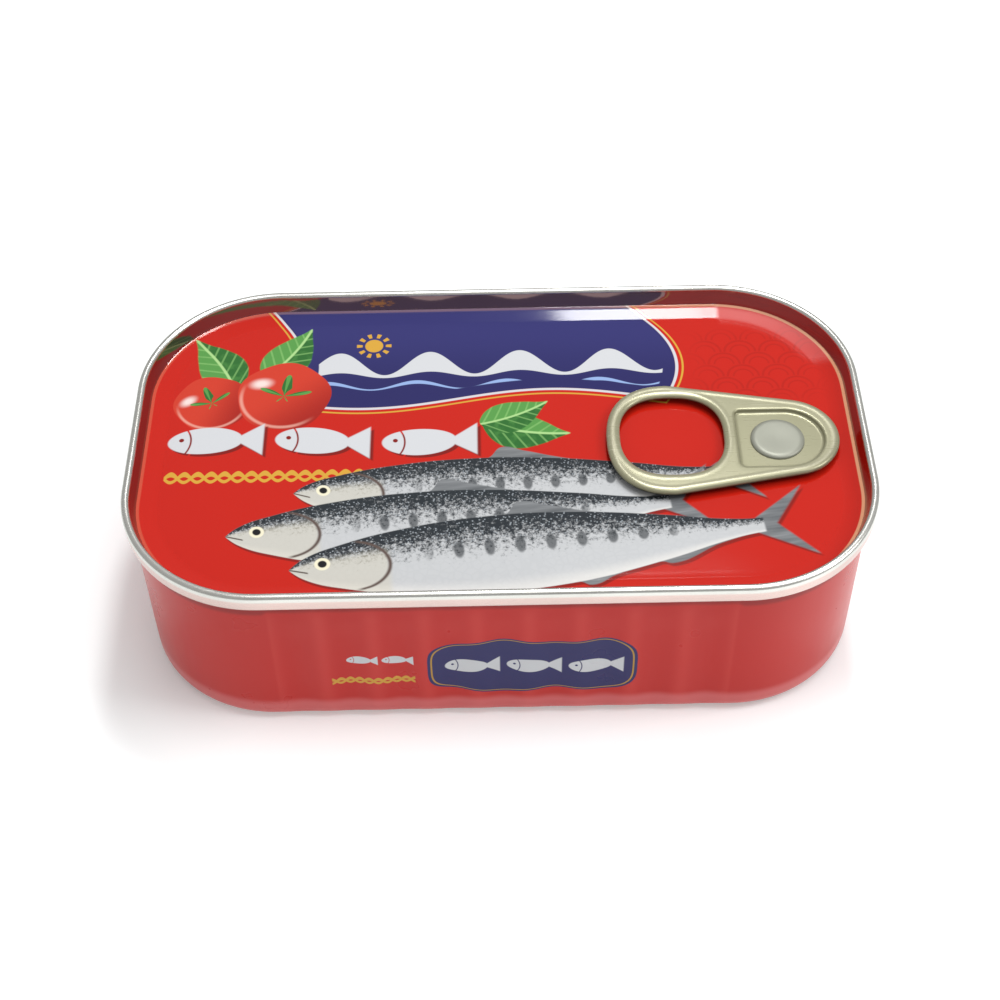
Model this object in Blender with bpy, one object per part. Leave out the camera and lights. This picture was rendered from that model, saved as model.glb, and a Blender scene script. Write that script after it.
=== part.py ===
"""Sardine tin: a shut, filled tin with a seamed easy-open lid and a ring pull.

Metres, +Z up. The origin is the middle of the base, on the surface that the tin stands on.
The tin's length runs along X, and the nose of the ring pull points along +X.
"""
import math

import bmesh
import bpy

# Driving dimensions
LENGTH = 0.105
WIDTH = 0.060
HEIGHT = 0.029
CORNER_RADIUS = 0.020
CLEARANCE = 0.0003

# Seam, the folded rim that joins the lid to the wall
SEAM_HEIGHT = 0.00275
SEAM_THICKNESS = 0.0014
SEAM_CREST_INSET = 0.00068
SEAM_CREST_RISE = 0.8 * SEAM_CREST_INSET
HEM_RADIUS = 0.3 * SEAM_THICKNESS

# Lid: depths are below the top of the seam, insets are from the seam's outer face
CHUCK_FOOT_INSET = 0.00195
CHUCK_FOOT_DEPTH = 0.0027
SLOPE_INSET = 0.0022
SLOPE_DEPTH = 0.0028
DISH_INSET = 0.0042
DISH_DEPTH = 0.00317
PANEL_INSET = 0.0050
PANEL_DEPTH = 0.0032
SHEET = 0.00045
CHUCK_SHEET = 0.0003

# Body: the drawn cup with its fill
WALL_INSET_TOP = 0.00105
WALL_INSET_BASE = 0.00120
RIM_THICKNESS = 0.0003
BASE_RADIUS = 0.0024
FOOT_WIDTH = 0.0020
BASE_STEP_WIDTH = 0.0008
BASE_STEP_HEIGHT = 0.0006
FLUTE_COUNT = 9
FLUTE_PITCH = 0.0071
FLUTE_DEPTH = 0.0002
FLUTE_SHARE_AT_FILL = 0.8
FLUTE_SHARE_AT_RIM = 0.4

# Ring pull, in plan along X from the back of the ring to the nose
TAB_LIFT = 0.00053
TAB_BACK = 0.0153
TAB_NOSE = 0.0486
TAB_RING_X = 0.0247
TAB_Y = -0.0006
TAB_HALF_WIDTH = 0.0106
TAB_RING_POWER = 2.4
NOSE_RADIUS = 0.00735
NOSE_HALF_ANGLE = math.radians(79)
TAB_THICKNESS = 0.0011
TAB_EDGE = 0.00045
HOLE_X = 0.0247
HOLE_Y = 0.0
HOLE_HALF_LENGTH = 0.0074
HOLE_HALF_WIDTH = 0.00755
HOLE_POWER = 2.5
POCKET_BACK = 0.0340
POCKET_ARC_X = 0.0409
POCKET_HALF_WIDTH = 0.00545
POCKET_CORNER = 0.0009
POCKET_DEPTH = 0.00065
CUTTER_REACH = 2 * TAB_THICKNESS

# Rivet, drawn up out of the lid's own sheet
RIVET_X = 0.0397
RIVET_Y = -0.0010
RIVET_STEM_RADIUS = 0.0022
RIVET_HEAD_RADIUS = 0.00385
RIVET_HEAD_EDGE = 0.0002
RIVET_DOME = 0.00015

# Facets of each curve
CORNER_STEPS = 12
FLUTE_STEPS = 6
ROUND_STEPS = 32
CROWN_STEPS = 8
HEM_STEPS = 3
BASE_STEPS = 5
NOSE_STEPS = 12
RING_STEPS = 20
HOLE_STEPS = 32
POCKET_NOSE_STEPS = 14
POCKET_CORNER_STEPS = 3
QUARTER_ANGLES = (0, 30, 60, 90)
SHARP_ANGLE = math.radians(35)

PANEL_Z = HEIGHT - PANEL_DEPTH
PANEL_UNDER = PANEL_Z - SHEET
TAB_BOTTOM = PANEL_Z + TAB_LIFT
TAB_TOP = TAB_BOTTOM + TAB_THICKNESS
WEB_TOP = TAB_TOP - POCKET_DEPTH
SEAM_BOTTOM = HEIGHT - SEAM_HEIGHT


def clear_scene():
    """Take every object out of the open scene."""
    for thing in list(bpy.data.objects):
        bpy.data.objects.remove(thing, do_unlink=True)


def finish_material(name, colour, roughness, metallic):
    """A plain Principled material with one colour."""
    material = bpy.data.materials.new(name)
    material.use_nodes = True
    shader = material.node_tree.nodes["Principled BSDF"]
    shader.inputs["Base Color"].default_value = (*colour, 1.0)
    shader.inputs["Roughness"].default_value = roughness
    shader.inputs["Metallic"].default_value = metallic
    return material


def flute_dip(x):
    """How far the fluted long wall is drawn in at x, as a share of the full depth."""
    reach = FLUTE_COUNT * FLUTE_PITCH / 2
    if abs(x) >= reach:
        return 0.0
    return 0.5 - 0.5 * math.cos(2 * math.pi * (x + reach) / FLUTE_PITCH)


def oval_columns(fluted):
    """Directions around the tin's outline: a corner centre, an angle, and a shift along the long wall.

    Each entry is (centre x, centre y, angle, straight x or None).
    """
    centre_x = LENGTH / 2 - CORNER_RADIUS
    centre_y = WIDTH / 2 - CORNER_RADIUS
    columns = []
    for quarter, (sign_x, sign_y) in enumerate(((1, 1), (-1, 1), (-1, -1), (1, -1))):
        for step in range(CORNER_STEPS + 1):
            angle = math.pi / 2 * (quarter + step / CORNER_STEPS)
            columns.append((sign_x * centre_x, sign_y * centre_y, angle, None))
        if fluted and quarter in (0, 2):
            columns += long_wall_columns(sign_x, sign_y, centre_y)
    return columns


def long_wall_columns(sign_x, sign_y, centre_y):
    """Columns along one long wall, from the corner at sign_x to the other corner."""
    count = FLUTE_COUNT * FLUTE_STEPS
    reach = FLUTE_COUNT * FLUTE_PITCH / 2
    wall = []
    for step in range(count + 1):
        x = sign_x * (reach - 2 * reach * step / count)
        wall.append((x, sign_y * centre_y, sign_y * math.pi / 2, x))
    return wall


def oval_ring(columns, inset, z, dip=0.0):
    """Points of the tin's outline drawn in by inset at height z, with flutes of depth dip."""
    ring = []
    radius = CORNER_RADIUS - inset
    for centre_x, centre_y, angle, straight in columns:
        reach = radius
        if straight is not None:
            reach -= dip * flute_dip(straight)
        ring.append((centre_x + reach * math.cos(angle), centre_y + reach * math.sin(angle), z))
    return ring


def closed_loft(name, rings):
    """One closed mesh through rings of equal count, with a flat cap on the first and the last."""
    mesh = bpy.data.meshes.new(name)
    shape = bmesh.new()
    loops = [[shape.verts.new(point) for point in ring] for ring in rings]
    count = len(loops[0])
    for low, high in zip(loops, loops[1:]):
        for here in range(count):
            there = (here + 1) % count
            shape.faces.new((low[here], low[there], high[there], high[here]))
    shape.faces.new(loops[0])
    shape.faces.new(loops[-1])
    bmesh.ops.recalc_face_normals(shape, faces=shape.faces)
    shape.to_mesh(mesh)
    shape.free()
    return mesh


def add_object(name, mesh, material):
    """Put a mesh in the scene as one named, smooth-shaded object."""
    if material is not None:
        mesh.materials.append(material)
    thing = bpy.data.objects.new(name, mesh)
    bpy.context.scene.collection.objects.link(thing)
    mesh.shade_smooth()
    mesh.set_sharp_from_angle(angle=SHARP_ANGLE)
    return thing


def add_guide(name, mesh):
    """Put a cutter in the scene: drawn as wire, and left out of renders."""
    guide = add_object(name, mesh, None)
    guide.hide_render = True
    guide.display_type = "WIRE"
    return guide


def add_boolean(thing, guide, operation):
    """Join or cut thing with guide."""
    modifier = thing.modifiers.new(operation.title() + " " + guide.name, "BOOLEAN")
    modifier.operation = operation
    modifier.object = guide
    modifier.solver = "EXACT"


def arc_profile(centre_inset, centre_z, radius, start, end, steps):
    """Inset and height pairs along an arc; an angle of 0 points outwards and 90 degrees up."""
    pairs = []
    for step in range(steps + 1):
        angle = math.radians(start + (end - start) * step / steps)
        pairs.append((centre_inset - radius * math.cos(angle), centre_z + radius * math.sin(angle)))
    return pairs


def body_profile():
    """Inset, height and flute share from the middle of the base out, up the wall and over the rim."""
    foot_inset = WALL_INSET_BASE + BASE_RADIUS
    inner_foot = foot_inset + FOOT_WIDTH
    fill_top = PANEL_UNDER - CLEARANCE
    rim_inner = WALL_INSET_TOP + RIM_THICKNESS
    profile = [
        (inner_foot + BASE_STEP_WIDTH, BASE_STEP_HEIGHT, 0.0),
        (inner_foot, 0.0, 0.0),
    ]
    for inset, z in arc_profile(foot_inset, BASE_RADIUS, BASE_RADIUS, -90, 0, BASE_STEPS):
        profile.append((inset, z, z / BASE_RADIUS))
    profile += [
        (wall_inset(HEIGHT / 2), HEIGHT / 2, 1.0),
        (WALL_INSET_TOP, fill_top, FLUTE_SHARE_AT_FILL),
        (WALL_INSET_TOP, SEAM_BOTTOM - CLEARANCE, FLUTE_SHARE_AT_RIM),
        (rim_inner, SEAM_BOTTOM - CLEARANCE, 0.0),
        (rim_inner, fill_top, 0.0),
    ]
    return profile


def wall_inset(z):
    """The wall leans in a little from the seam to the base."""
    share = (z - BASE_RADIUS) / (SEAM_BOTTOM - BASE_RADIUS)
    return WALL_INSET_BASE + (WALL_INSET_TOP - WALL_INSET_BASE) * share


def lid_profile():
    """Inset and height from the underside of the panel out, round the seam and back over the top."""
    chuck_outer = CHUCK_FOOT_INSET - CHUCK_SHEET
    profile = [
        (PANEL_INSET, PANEL_UNDER),
        (SLOPE_INSET, PANEL_UNDER),
        (chuck_outer, HEIGHT - SLOPE_DEPTH - SHEET),
        (chuck_outer, SEAM_BOTTOM),
    ]
    profile += arc_profile(HEM_RADIUS, SEAM_BOTTOM + HEM_RADIUS, HEM_RADIUS, -90, 0, HEM_STEPS)
    profile += seam_crown()
    profile += foot_bend()
    profile += [
        (DISH_INSET, HEIGHT - DISH_DEPTH),
        (PANEL_INSET, PANEL_Z),
    ]
    return profile


def foot_bend():
    """The rounded bend from the foot of the chuck wall to the slope round the panel."""
    run = SLOPE_INSET - CHUCK_FOOT_INSET
    drop = SLOPE_DEPTH - CHUCK_FOOT_DEPTH
    bend = []
    for degrees in QUARTER_ANGLES:
        angle = math.radians(degrees)
        inset = SLOPE_INSET - run * math.cos(angle)
        bend.append((inset, HEIGHT - CHUCK_FOOT_DEPTH - drop * math.sin(angle)))
    return bend


def seam_crown():
    """The rounded top of the seam, from its outer face over to the chuck wall."""
    inner = SEAM_THICKNESS - SEAM_CREST_INSET
    crown = []
    for step in range(CROWN_STEPS + 1):
        angle = math.pi * step / CROWN_STEPS
        half = SEAM_CREST_INSET if step <= CROWN_STEPS / 2 else inner
        z = HEIGHT - SEAM_CREST_RISE * (1 - math.sin(angle))
        crown.append((SEAM_CREST_INSET - half * math.cos(angle), z))
    return crown


def superellipse(centre, half_x, half_y, power, start, end, steps):
    """Points along a superellipse about a centre, from one angle in degrees to another."""
    points = []
    for step in range(steps + 1):
        angle = math.radians(start + (end - start) * step / steps)
        cosine, sine = math.cos(angle), math.sin(angle)
        along = math.copysign(abs(cosine) ** (2 / power), cosine)
        across = math.copysign(abs(sine) ** (2 / power), sine)
        points.append((centre[0] + half_x * along, centre[1] + half_y * across))
    return points


def arc_points(centre_x, centre_y, radius, start, end, steps):
    """Points along an arc in plan, angles in radians."""
    points = []
    for step in range(steps + 1):
        angle = start + (end - start) * step / steps
        points.append((centre_x + radius * math.cos(angle), centre_y + radius * math.sin(angle)))
    return points


def tab_outline():
    """Outer outline of the ring pull: a blunt ring end, two straight flanks and a round nose."""
    nose_x = TAB_NOSE - NOSE_RADIUS
    nose = arc_points(nose_x, TAB_Y, NOSE_RADIUS, -NOSE_HALF_ANGLE, NOSE_HALF_ANGLE, NOSE_STEPS)
    centre = (TAB_RING_X, TAB_Y)
    ring_half = TAB_RING_X - TAB_BACK
    ring = superellipse(centre, ring_half, TAB_HALF_WIDTH, TAB_RING_POWER, 90, 270, RING_STEPS)
    return nose + ring


def hole_outline():
    """The finger hole of the ring pull."""
    centre = (HOLE_X, HOLE_Y)
    ring = superellipse(centre, HOLE_HALF_LENGTH, HOLE_HALF_WIDTH, HOLE_POWER, 0, 360, HOLE_STEPS)
    return ring[:-1]


def pocket_outline():
    """The D-shaped pocket round the rivet, straight at the ring's side and round at the nose."""
    quarter = math.pi / 2
    nose = arc_points(POCKET_ARC_X, RIVET_Y, POCKET_HALF_WIDTH, -quarter, quarter, POCKET_NOSE_STEPS)
    corner_x = POCKET_BACK + POCKET_CORNER
    corner_y = POCKET_HALF_WIDTH - POCKET_CORNER
    corners = []
    for y, start in ((RIVET_Y + corner_y, quarter), (RIVET_Y - corner_y, 2 * quarter)):
        corners += arc_points(corner_x, y, POCKET_CORNER, start, start + quarter, POCKET_CORNER_STEPS)
    return nose + corners


def outline_normals(outline):
    """Unit vectors pointing out of a closed outline that runs anticlockwise."""
    normals = []
    count = len(outline)
    for here in range(count):
        before = outline[here - 1]
        after = outline[(here + 1) % count]
        run_x, run_y = after[0] - before[0], after[1] - before[1]
        span = math.hypot(run_x, run_y)
        normals.append((run_y / span, -run_x / span))
    return normals


def outline_loft(name, outline, levels):
    """A closed solid over an outline, from levels of (offset outwards, height)."""
    normals = outline_normals(outline)
    rings = []
    for offset, z in levels:
        ring = []
        for (x, y), (out_x, out_y) in zip(outline, normals):
            ring.append((x + offset * out_x, y + offset * out_y, z))
        rings.append(ring)
    return closed_loft(name, rings)


def rounded_edge(edge, low, high, sign, beyond=0.0):
    """Levels of a side whose two edges are rounded over; sign -1 rounds a plate, +1 flares a cutter."""
    levels = []
    if beyond:
        levels.append((sign * edge, low - beyond))
    for degrees in QUARTER_ANGLES:
        angle = math.radians(degrees)
        levels.append((sign * edge * (1 - math.sin(angle)), low + edge * (1 - math.cos(angle))))
    for degrees in reversed(QUARTER_ANGLES):
        angle = math.radians(degrees)
        levels.append((sign * edge * (1 - math.sin(angle)), high - edge * (1 - math.cos(angle))))
    if beyond:
        levels.append((sign * edge, high + beyond))
    return levels


def circle_ring(radius, z):
    """Points of a level circle about the rivet's axis."""
    ring = []
    for step in range(ROUND_STEPS):
        angle = 2 * math.pi * step / ROUND_STEPS
        ring.append((RIVET_X + radius * math.cos(angle), RIVET_Y + radius * math.sin(angle), z))
    return ring


def build_body(material):
    """The drawn cup, filled up to just below the lid, with faint upright flutes on the long walls."""
    columns = oval_columns(fluted=True)
    rings = [oval_ring(columns, inset, z, share * FLUTE_DEPTH) for inset, z, share in body_profile()]
    return add_object("can_body", closed_loft("can_body", rings), material)


def build_lid(material):
    """The lid with its seam, and the rivet that holds the ring pull."""
    columns = oval_columns(fluted=False)
    rings = [oval_ring(columns, inset, z) for inset, z in lid_profile()]
    lid = add_object("lid", closed_loft("lid", rings), material)
    head_bottom = WEB_TOP + CLEARANCE
    rivet = [
        circle_ring(RIVET_STEM_RADIUS, PANEL_Z - SHEET / 2),
        circle_ring(RIVET_STEM_RADIUS, head_bottom),
        circle_ring(RIVET_HEAD_RADIUS, head_bottom),
        circle_ring(RIVET_HEAD_RADIUS, head_bottom + RIVET_HEAD_EDGE / 2),
        circle_ring(RIVET_HEAD_RADIUS - RIVET_HEAD_EDGE / 2, head_bottom + RIVET_HEAD_EDGE),
        circle_ring(RIVET_HEAD_RADIUS / 2, head_bottom + RIVET_HEAD_EDGE + RIVET_DOME),
    ]
    add_boolean(lid, add_guide("rivet_guide", closed_loft("rivet_guide", rivet)), "UNION")
    return lid


def build_ring_pull(material):
    """The ring pull: a curled plate with a finger hole, a pocket and the rivet's hole in its web."""
    plate = outline_loft("ring_pull", tab_outline(), rounded_edge(TAB_EDGE, TAB_BOTTOM, TAB_TOP, -1))
    ring_pull = add_object("ring_pull", plate, material)
    hole_levels = rounded_edge(TAB_EDGE, TAB_BOTTOM, TAB_TOP, 1, CUTTER_REACH)
    hole = outline_loft("hole_guide", hole_outline(), hole_levels)
    pocket_levels = [
        (0.0, WEB_TOP),
        (0.0, TAB_TOP - TAB_EDGE / 2),
        (TAB_EDGE / 2, TAB_TOP),
        (TAB_EDGE / 2, TAB_TOP + CUTTER_REACH),
    ]
    pocket = outline_loft("pocket_guide", pocket_outline(), pocket_levels)
    bore_radius = RIVET_STEM_RADIUS + CLEARANCE
    bore_rings = [circle_ring(bore_radius, TAB_BOTTOM - CUTTER_REACH), circle_ring(bore_radius, TAB_TOP)]
    bore = closed_loft("bore_guide", bore_rings)
    for name, mesh in (("hole_guide", hole), ("pocket_guide", pocket), ("bore_guide", bore)):
        add_boolean(ring_pull, add_guide(name, mesh), "DIFFERENCE")
    return ring_pull


def main():
    """Build the tin: the filled body, the lid and the ring pull."""
    clear_scene()
    build_body(finish_material("printed_tin", (0.52, 0.04, 0.03), 0.35, 0.2))
    build_lid(finish_material("lacquered_lid", (0.66, 0.05, 0.03), 0.25, 0.2))
    build_ring_pull(finish_material("ring_metal", (0.52, 0.48, 0.28), 0.3, 1.0))


main()
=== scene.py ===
"""Looks of a shut sardine tin: printed body, seamed lid, bare chuck wall, rivet and ring pull.

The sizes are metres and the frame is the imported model's own: +Z up, the origin in the middle of
the base, the length along X and the nose of the ring pull towards +X.
A print is worked out in millimetres, in each piece's Object coordinates.
"""
import math

import bmesh
import bpy
from mathutils import Matrix, Quaternion, Vector


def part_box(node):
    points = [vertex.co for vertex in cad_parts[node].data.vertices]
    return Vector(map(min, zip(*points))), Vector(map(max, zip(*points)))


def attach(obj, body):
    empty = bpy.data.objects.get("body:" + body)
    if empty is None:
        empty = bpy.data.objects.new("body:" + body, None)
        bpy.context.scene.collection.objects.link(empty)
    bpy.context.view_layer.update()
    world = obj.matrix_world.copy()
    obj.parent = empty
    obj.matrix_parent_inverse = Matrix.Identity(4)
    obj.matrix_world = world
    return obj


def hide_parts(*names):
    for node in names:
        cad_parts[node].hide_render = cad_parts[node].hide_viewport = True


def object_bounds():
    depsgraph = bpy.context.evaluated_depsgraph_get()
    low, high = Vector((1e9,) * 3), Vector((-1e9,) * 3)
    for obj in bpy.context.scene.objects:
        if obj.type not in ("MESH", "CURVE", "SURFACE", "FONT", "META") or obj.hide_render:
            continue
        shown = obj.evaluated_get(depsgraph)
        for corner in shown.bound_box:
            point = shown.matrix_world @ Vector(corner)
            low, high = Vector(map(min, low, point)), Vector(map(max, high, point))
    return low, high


bl_info = {
    "name": "Sardine Tin",
    "version": (1, 0, 0),
    "blender": (4, 5, 0),
    "location": "3D View > Sidebar > Sardine Tin",
    "description": "Builds the looks of a printed sardine tin around its packed solids",
    "category": "Object",
}

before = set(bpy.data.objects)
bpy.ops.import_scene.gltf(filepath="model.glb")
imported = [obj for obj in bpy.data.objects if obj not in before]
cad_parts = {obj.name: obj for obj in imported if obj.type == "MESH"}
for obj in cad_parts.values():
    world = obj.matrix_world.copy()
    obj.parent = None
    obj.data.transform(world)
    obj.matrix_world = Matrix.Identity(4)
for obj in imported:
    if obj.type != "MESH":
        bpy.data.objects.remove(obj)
CAD_LOW, CAD_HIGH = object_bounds()
BODY_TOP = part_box("can_body")[1].z
TAB_LOW, TAB_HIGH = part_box("ring_pull")
MM = 0.001
SHARP_ANGLE = math.radians(32)
CORNER_POINTS = 48
CORNER_RADIUS = 20 * MM
FLUTE_PITCH = 7.1 * MM
FLUTE_COUNT = 9

# Lid profile: depths are below the top of the seam, insets are from the seam's outer face
SEAM_CREST_INSET = 0.60 * MM
SEAM_CROWN = 0.8 * SEAM_CREST_INSET
SEAM_HEM = 0.42 * MM
SEAM_BULGE = 0.05 * MM
CHUCK_FOOT_INSET = 1.75 * MM
CHUCK_FOOT_DEPTH = 2.7 * MM
CHUCK_SHEET = 0.3 * MM
SLOPE_INSET = 2.2 * MM
SLOPE_DEPTH = 2.8 * MM
DISH_INSET = 4.2 * MM
DISH_DEPTH = 3.155 * MM
PANEL_INSET = 5.0 * MM
PANEL_DEPTH = 3.2 * MM
SHEET = 0.45 * MM

# Body profile
WALL_INSET_TOP = 1.05 * MM
WALL_INSET_BASE = 1.20 * MM
RIM_THICKNESS = 0.3 * MM
BASE_RADIUS = 2.4 * MM
FOOT_WIDTH = 2.0 * MM
BASE_STEP_WIDTH = 0.8 * MM
BASE_STEP_HEIGHT = 0.6 * MM
BASE_BEAD_HEIGHT = 0.25 * MM
BASE_BEAD_WIDTH = 3.0 * MM

# Ring pull and rivet
TAB_RING_X = 24.7 * MM
TAB_Y = (TAB_LOW.y + TAB_HIGH.y) / 2
TAB_RING_POWER = 2.4
NOSE_RADIUS = 7.35 * MM
NOSE_HALF_ANGLE = math.radians(79)
HOLE_X = 24.7 * MM
HOLE_Y = 0.0
HOLE_HALF_LENGTH = 7.4 * MM
HOLE_HALF_WIDTH = 7.55 * MM
HOLE_POWER = 2.5
POCKET_BACK = 34.0 * MM
POCKET_ARC_X = 40.9 * MM
POCKET_HALF_WIDTH = 5.45 * MM
POCKET_CORNER = 0.9 * MM
POCKET_DEPTH = 0.65 * MM
RIVET_X = 39.7 * MM
RIVET_Y = -1.0 * MM
RIVET_STEM_RADIUS = 2.2 * MM
RIVET_HEAD_RADIUS = 3.85 * MM
RIVET_HEAD_RISE = 0.42 * MM
RIVET_EDGE_WIDTH = 0.8 * MM
RIVET_DISH = 0.05 * MM

POCKET_RIM_RADIUS = 0.42 * MM
POCKET_RIM_INSET = 0.45 * MM
POCKET_FLARE = 0.25 * MM
PLATE_LIFT = 0.12 * MM
WEB_LIFT = 0.04 * MM
WEB_LAP = 0.3 * MM
STEM_GAP = 0.3 * MM
HEAD_GAP = 0.05 * MM
BEAD_SPACING = 0.2 * MM

# How far a clear satin lacquer lets the bare metal through
SATIN_METAL = 0.35

TIN_HEIGHT = CAD_HIGH.z
PANEL_Z = TIN_HEIGHT - PANEL_DEPTH
WEB_TOP = TAB_HIGH.z - POCKET_DEPTH


def length_value(name, description, default):
    """A length that the sidebar shows, in metres."""
    return bpy.props.FloatProperty(
        name=name, description=description, default=default, min=0.0, precision=5, unit="LENGTH"
    )


def colour_value(name, description, default):
    """A colour that the sidebar shows."""
    return bpy.props.FloatVectorProperty(
        name=name, description=description, default=default, size=3, min=0.0, max=1.0, subtype="COLOR"
    )


def share_value(name, description, default):
    """A share from 0 to 1 that the sidebar shows."""
    return bpy.props.FloatProperty(
        name=name, description=description, default=default, min=0.0, max=1.0, subtype="FACTOR"
    )


def angle_value(name, description, degrees):
    """An angle that the sidebar shows, given in degrees."""
    return bpy.props.FloatProperty(
        name=name, description=description, default=math.radians(degrees), unit="ROTATION"
    )


class TinSizes(bpy.types.PropertyGroup):
    """Sizes of the tin's body, seam and lid."""

    length: length_value("Length", "Over the seam, along X", CAD_HIGH.x - CAD_LOW.x)
    width: length_value("Width", "Over the seam, along Y", CAD_HIGH.y - CAD_LOW.y)
    corner_radius: length_value("Corner Radius", "Of the seam's outer face, in plan", CORNER_RADIUS)
    seam_height: length_value("Seam Height", "From the hem to the crest", 2.75 * MM)
    seam_thickness: length_value("Seam Thickness", "Of the folded rim, in plan", 1.15 * MM)
    point_spacing: length_value("Point Spacing", "Between mesh points round the tin", 0.5 * MM)
    flute_pitch: length_value("Flute Pitch", "Between the upright flutes of the long walls", FLUTE_PITCH)
    flute_depth: length_value("Flute Depth", "How far a flute is drawn in", 0.36 * MM)
    unevenness: length_value("Unevenness", "How far the drawn wall strays from true", 0.06 * MM)
    flute_count: bpy.props.IntProperty(
        name="Flute Count", description="Upright flutes on each long wall", default=FLUTE_COUNT, min=0
    )


class RingPullSizes(bpy.types.PropertyGroup):
    """Sizes of the ring pull."""

    rim_radius: length_value("Rim Radius", "Of the curled outer edge", 0.55 * MM)
    hole_rim_radius: length_value("Hole Rim Radius", "Of the curled edge of the finger hole", 0.54 * MM)
    plate_drop: length_value("Plate Drop", "Of the flat plate below the curled edges", 0.04 * MM)
    rim_spread: bpy.props.FloatProperty(
        name="Rim Spread", description="Width of the outer edge, over its height", default=1.5, min=1.0
    )
    hole_rim_spread: bpy.props.FloatProperty(
        name="Hole Rim Spread", description="The same for the edge of the finger hole", default=1.7, min=1.0
    )
    voxel: length_value("Voxel", "That fuses rims, plate and web into one sheet", 0.13 * MM)


class PrintColours(bpy.types.PropertyGroup):
    """Inks of the print on the lid and the wall."""

    red: colour_value("Red", "The ground colour", (0.480, 0.0130, 0.0060))
    wall_red: colour_value("Wall Red", "The ground colour of the wall", (0.490, 0.0170, 0.0120))
    navy: colour_value("Navy", "The sea band and the side label", (0.0200, 0.0190, 0.1000))
    white: colour_value("White", "Shoals, wave lines and keylines", (0.540, 0.550, 0.570))
    gold: colour_value("Gold", "Fine lines and the yellow rope", (0.560, 0.310, 0.040))
    leaf: colour_value("Leaf", "The lit half of a leaf", (0.085, 0.270, 0.060))
    leaf_shade: colour_value("Leaf Shade", "The dark half of a leaf", (0.025, 0.125, 0.025))
    tomato: colour_value("Tomato", "Skin of the tomatoes", (0.310, 0.0130, 0.0080))
    flank: colour_value("Flank", "The silver side of a fish", (0.480, 0.490, 0.500))
    back: colour_value("Back", "The dark back of a fish", (0.0200, 0.0250, 0.0300))


class MetalColours(bpy.types.PropertyGroup):
    """Colours of the bare metal."""

    seam: colour_value("Seam", "The crest of the folded rim", (0.690, 0.690, 0.650))
    # The seam face colour is the seam metal tinted pink: a painted reflection.
    seam_face: colour_value("Seam Face", "The outer face of the folded rim", (0.660, 0.500, 0.460))
    chuck: colour_value("Chuck Wall", "The bright wall inside the seam", (0.340, 0.220, 0.220))
    lacquer: colour_value("Gold Lacquer", "The thin line round the print", (0.600, 0.280, 0.155))
    ring: colour_value("Ring Pull", "The champagne gold of the ring pull", (0.310, 0.298, 0.200))
    rivet: colour_value("Rivet", "The greyer head of the rivet", (0.285, 0.290, 0.242))
    base: colour_value("Base", "The underside of the tin", (0.560, 0.520, 0.440))
    ring_roughness: share_value("Ring Roughness", "Of the ring pull's metal", 0.28)


class StageSizes(bpy.types.PropertyGroup):
    """The floor, the lights and the camera."""

    floor: colour_value("Floor", "The plain pale floor", (0.870, 0.910, 0.910))
    floor_glow: share_value("Floor Glow", "Lifts the floor to plain white", 0.14)
    sky: share_value("Sky", "Brightness of the plain surroundings", 0.50)
    camera_place: bpy.props.FloatVectorProperty(
        name="Camera Place", description="Where the camera stands", size=3, unit="LENGTH",
        default=(-0.0009, -0.1828, 0.21995),
    )
    camera_azimuth: angle_value("Camera Azimuth", "Turn of the view about Z", -0.28)
    camera_elevation: angle_value("Camera Elevation", "How steeply the view looks down", 48.43)
    camera_roll: angle_value("Camera Roll", "Turn of the picture", -0.9)
    camera_lens: bpy.props.FloatProperty(
        name="Camera Lens", description="Focal length on a 36 mm sensor", subtype="DISTANCE_CAMERA",
        default=66.93,
    )


class SardineTin(bpy.types.PropertyGroup):
    """All that a user may change, under one name in the scene."""

    sizes: bpy.props.PointerProperty(type=TinSizes)
    tab: bpy.props.PointerProperty(type=RingPullSizes)
    inks: bpy.props.PointerProperty(type=PrintColours)
    metals: bpy.props.PointerProperty(type=MetalColours)
    stage: bpy.props.PointerProperty(type=StageSizes)


# Nodes, written like sums

class Amount:
    """A number that a node gives; a sum with it makes the next node."""

    def __init__(self, pad, socket):
        self.pad = pad
        self.socket = socket

    def __add__(self, other):
        return self.pad.figure("ADD", self, other)

    def __sub__(self, other):
        return self.pad.figure("SUBTRACT", self, other)

    def __rsub__(self, other):
        return self.pad.figure("SUBTRACT", other, self)

    def __mul__(self, other):
        return self.pad.figure("MULTIPLY", self, other)

    def __truediv__(self, other):
        return self.pad.figure("DIVIDE", self, other)

    def __pow__(self, other):
        return self.pad.figure("POWER", self, other)

    def __abs__(self):
        return self.pad.figure("ABSOLUTE", self)

    __radd__ = __add__
    __rmul__ = __mul__

    def sine(self):
        """The sine of this angle in radians."""
        return self.pad.figure("SINE", self)

    def cosine(self):
        """The cosine of this angle in radians."""
        return self.pad.figure("COSINE", self)

    def above(self, edge, softness):
        """0 below the edge and 1 above it, with a soft step between."""
        return self.pad.step(self, edge - softness, edge + softness)

    def below(self, edge, softness):
        """1 below the edge and 0 above it, with a soft step between."""
        return self.pad.step(self, edge + softness, edge - softness)

    def within(self, low, high, softness):
        """1 between two edges and 0 outside them."""
        return self.above(low, softness) * self.below(high, softness)


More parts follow.
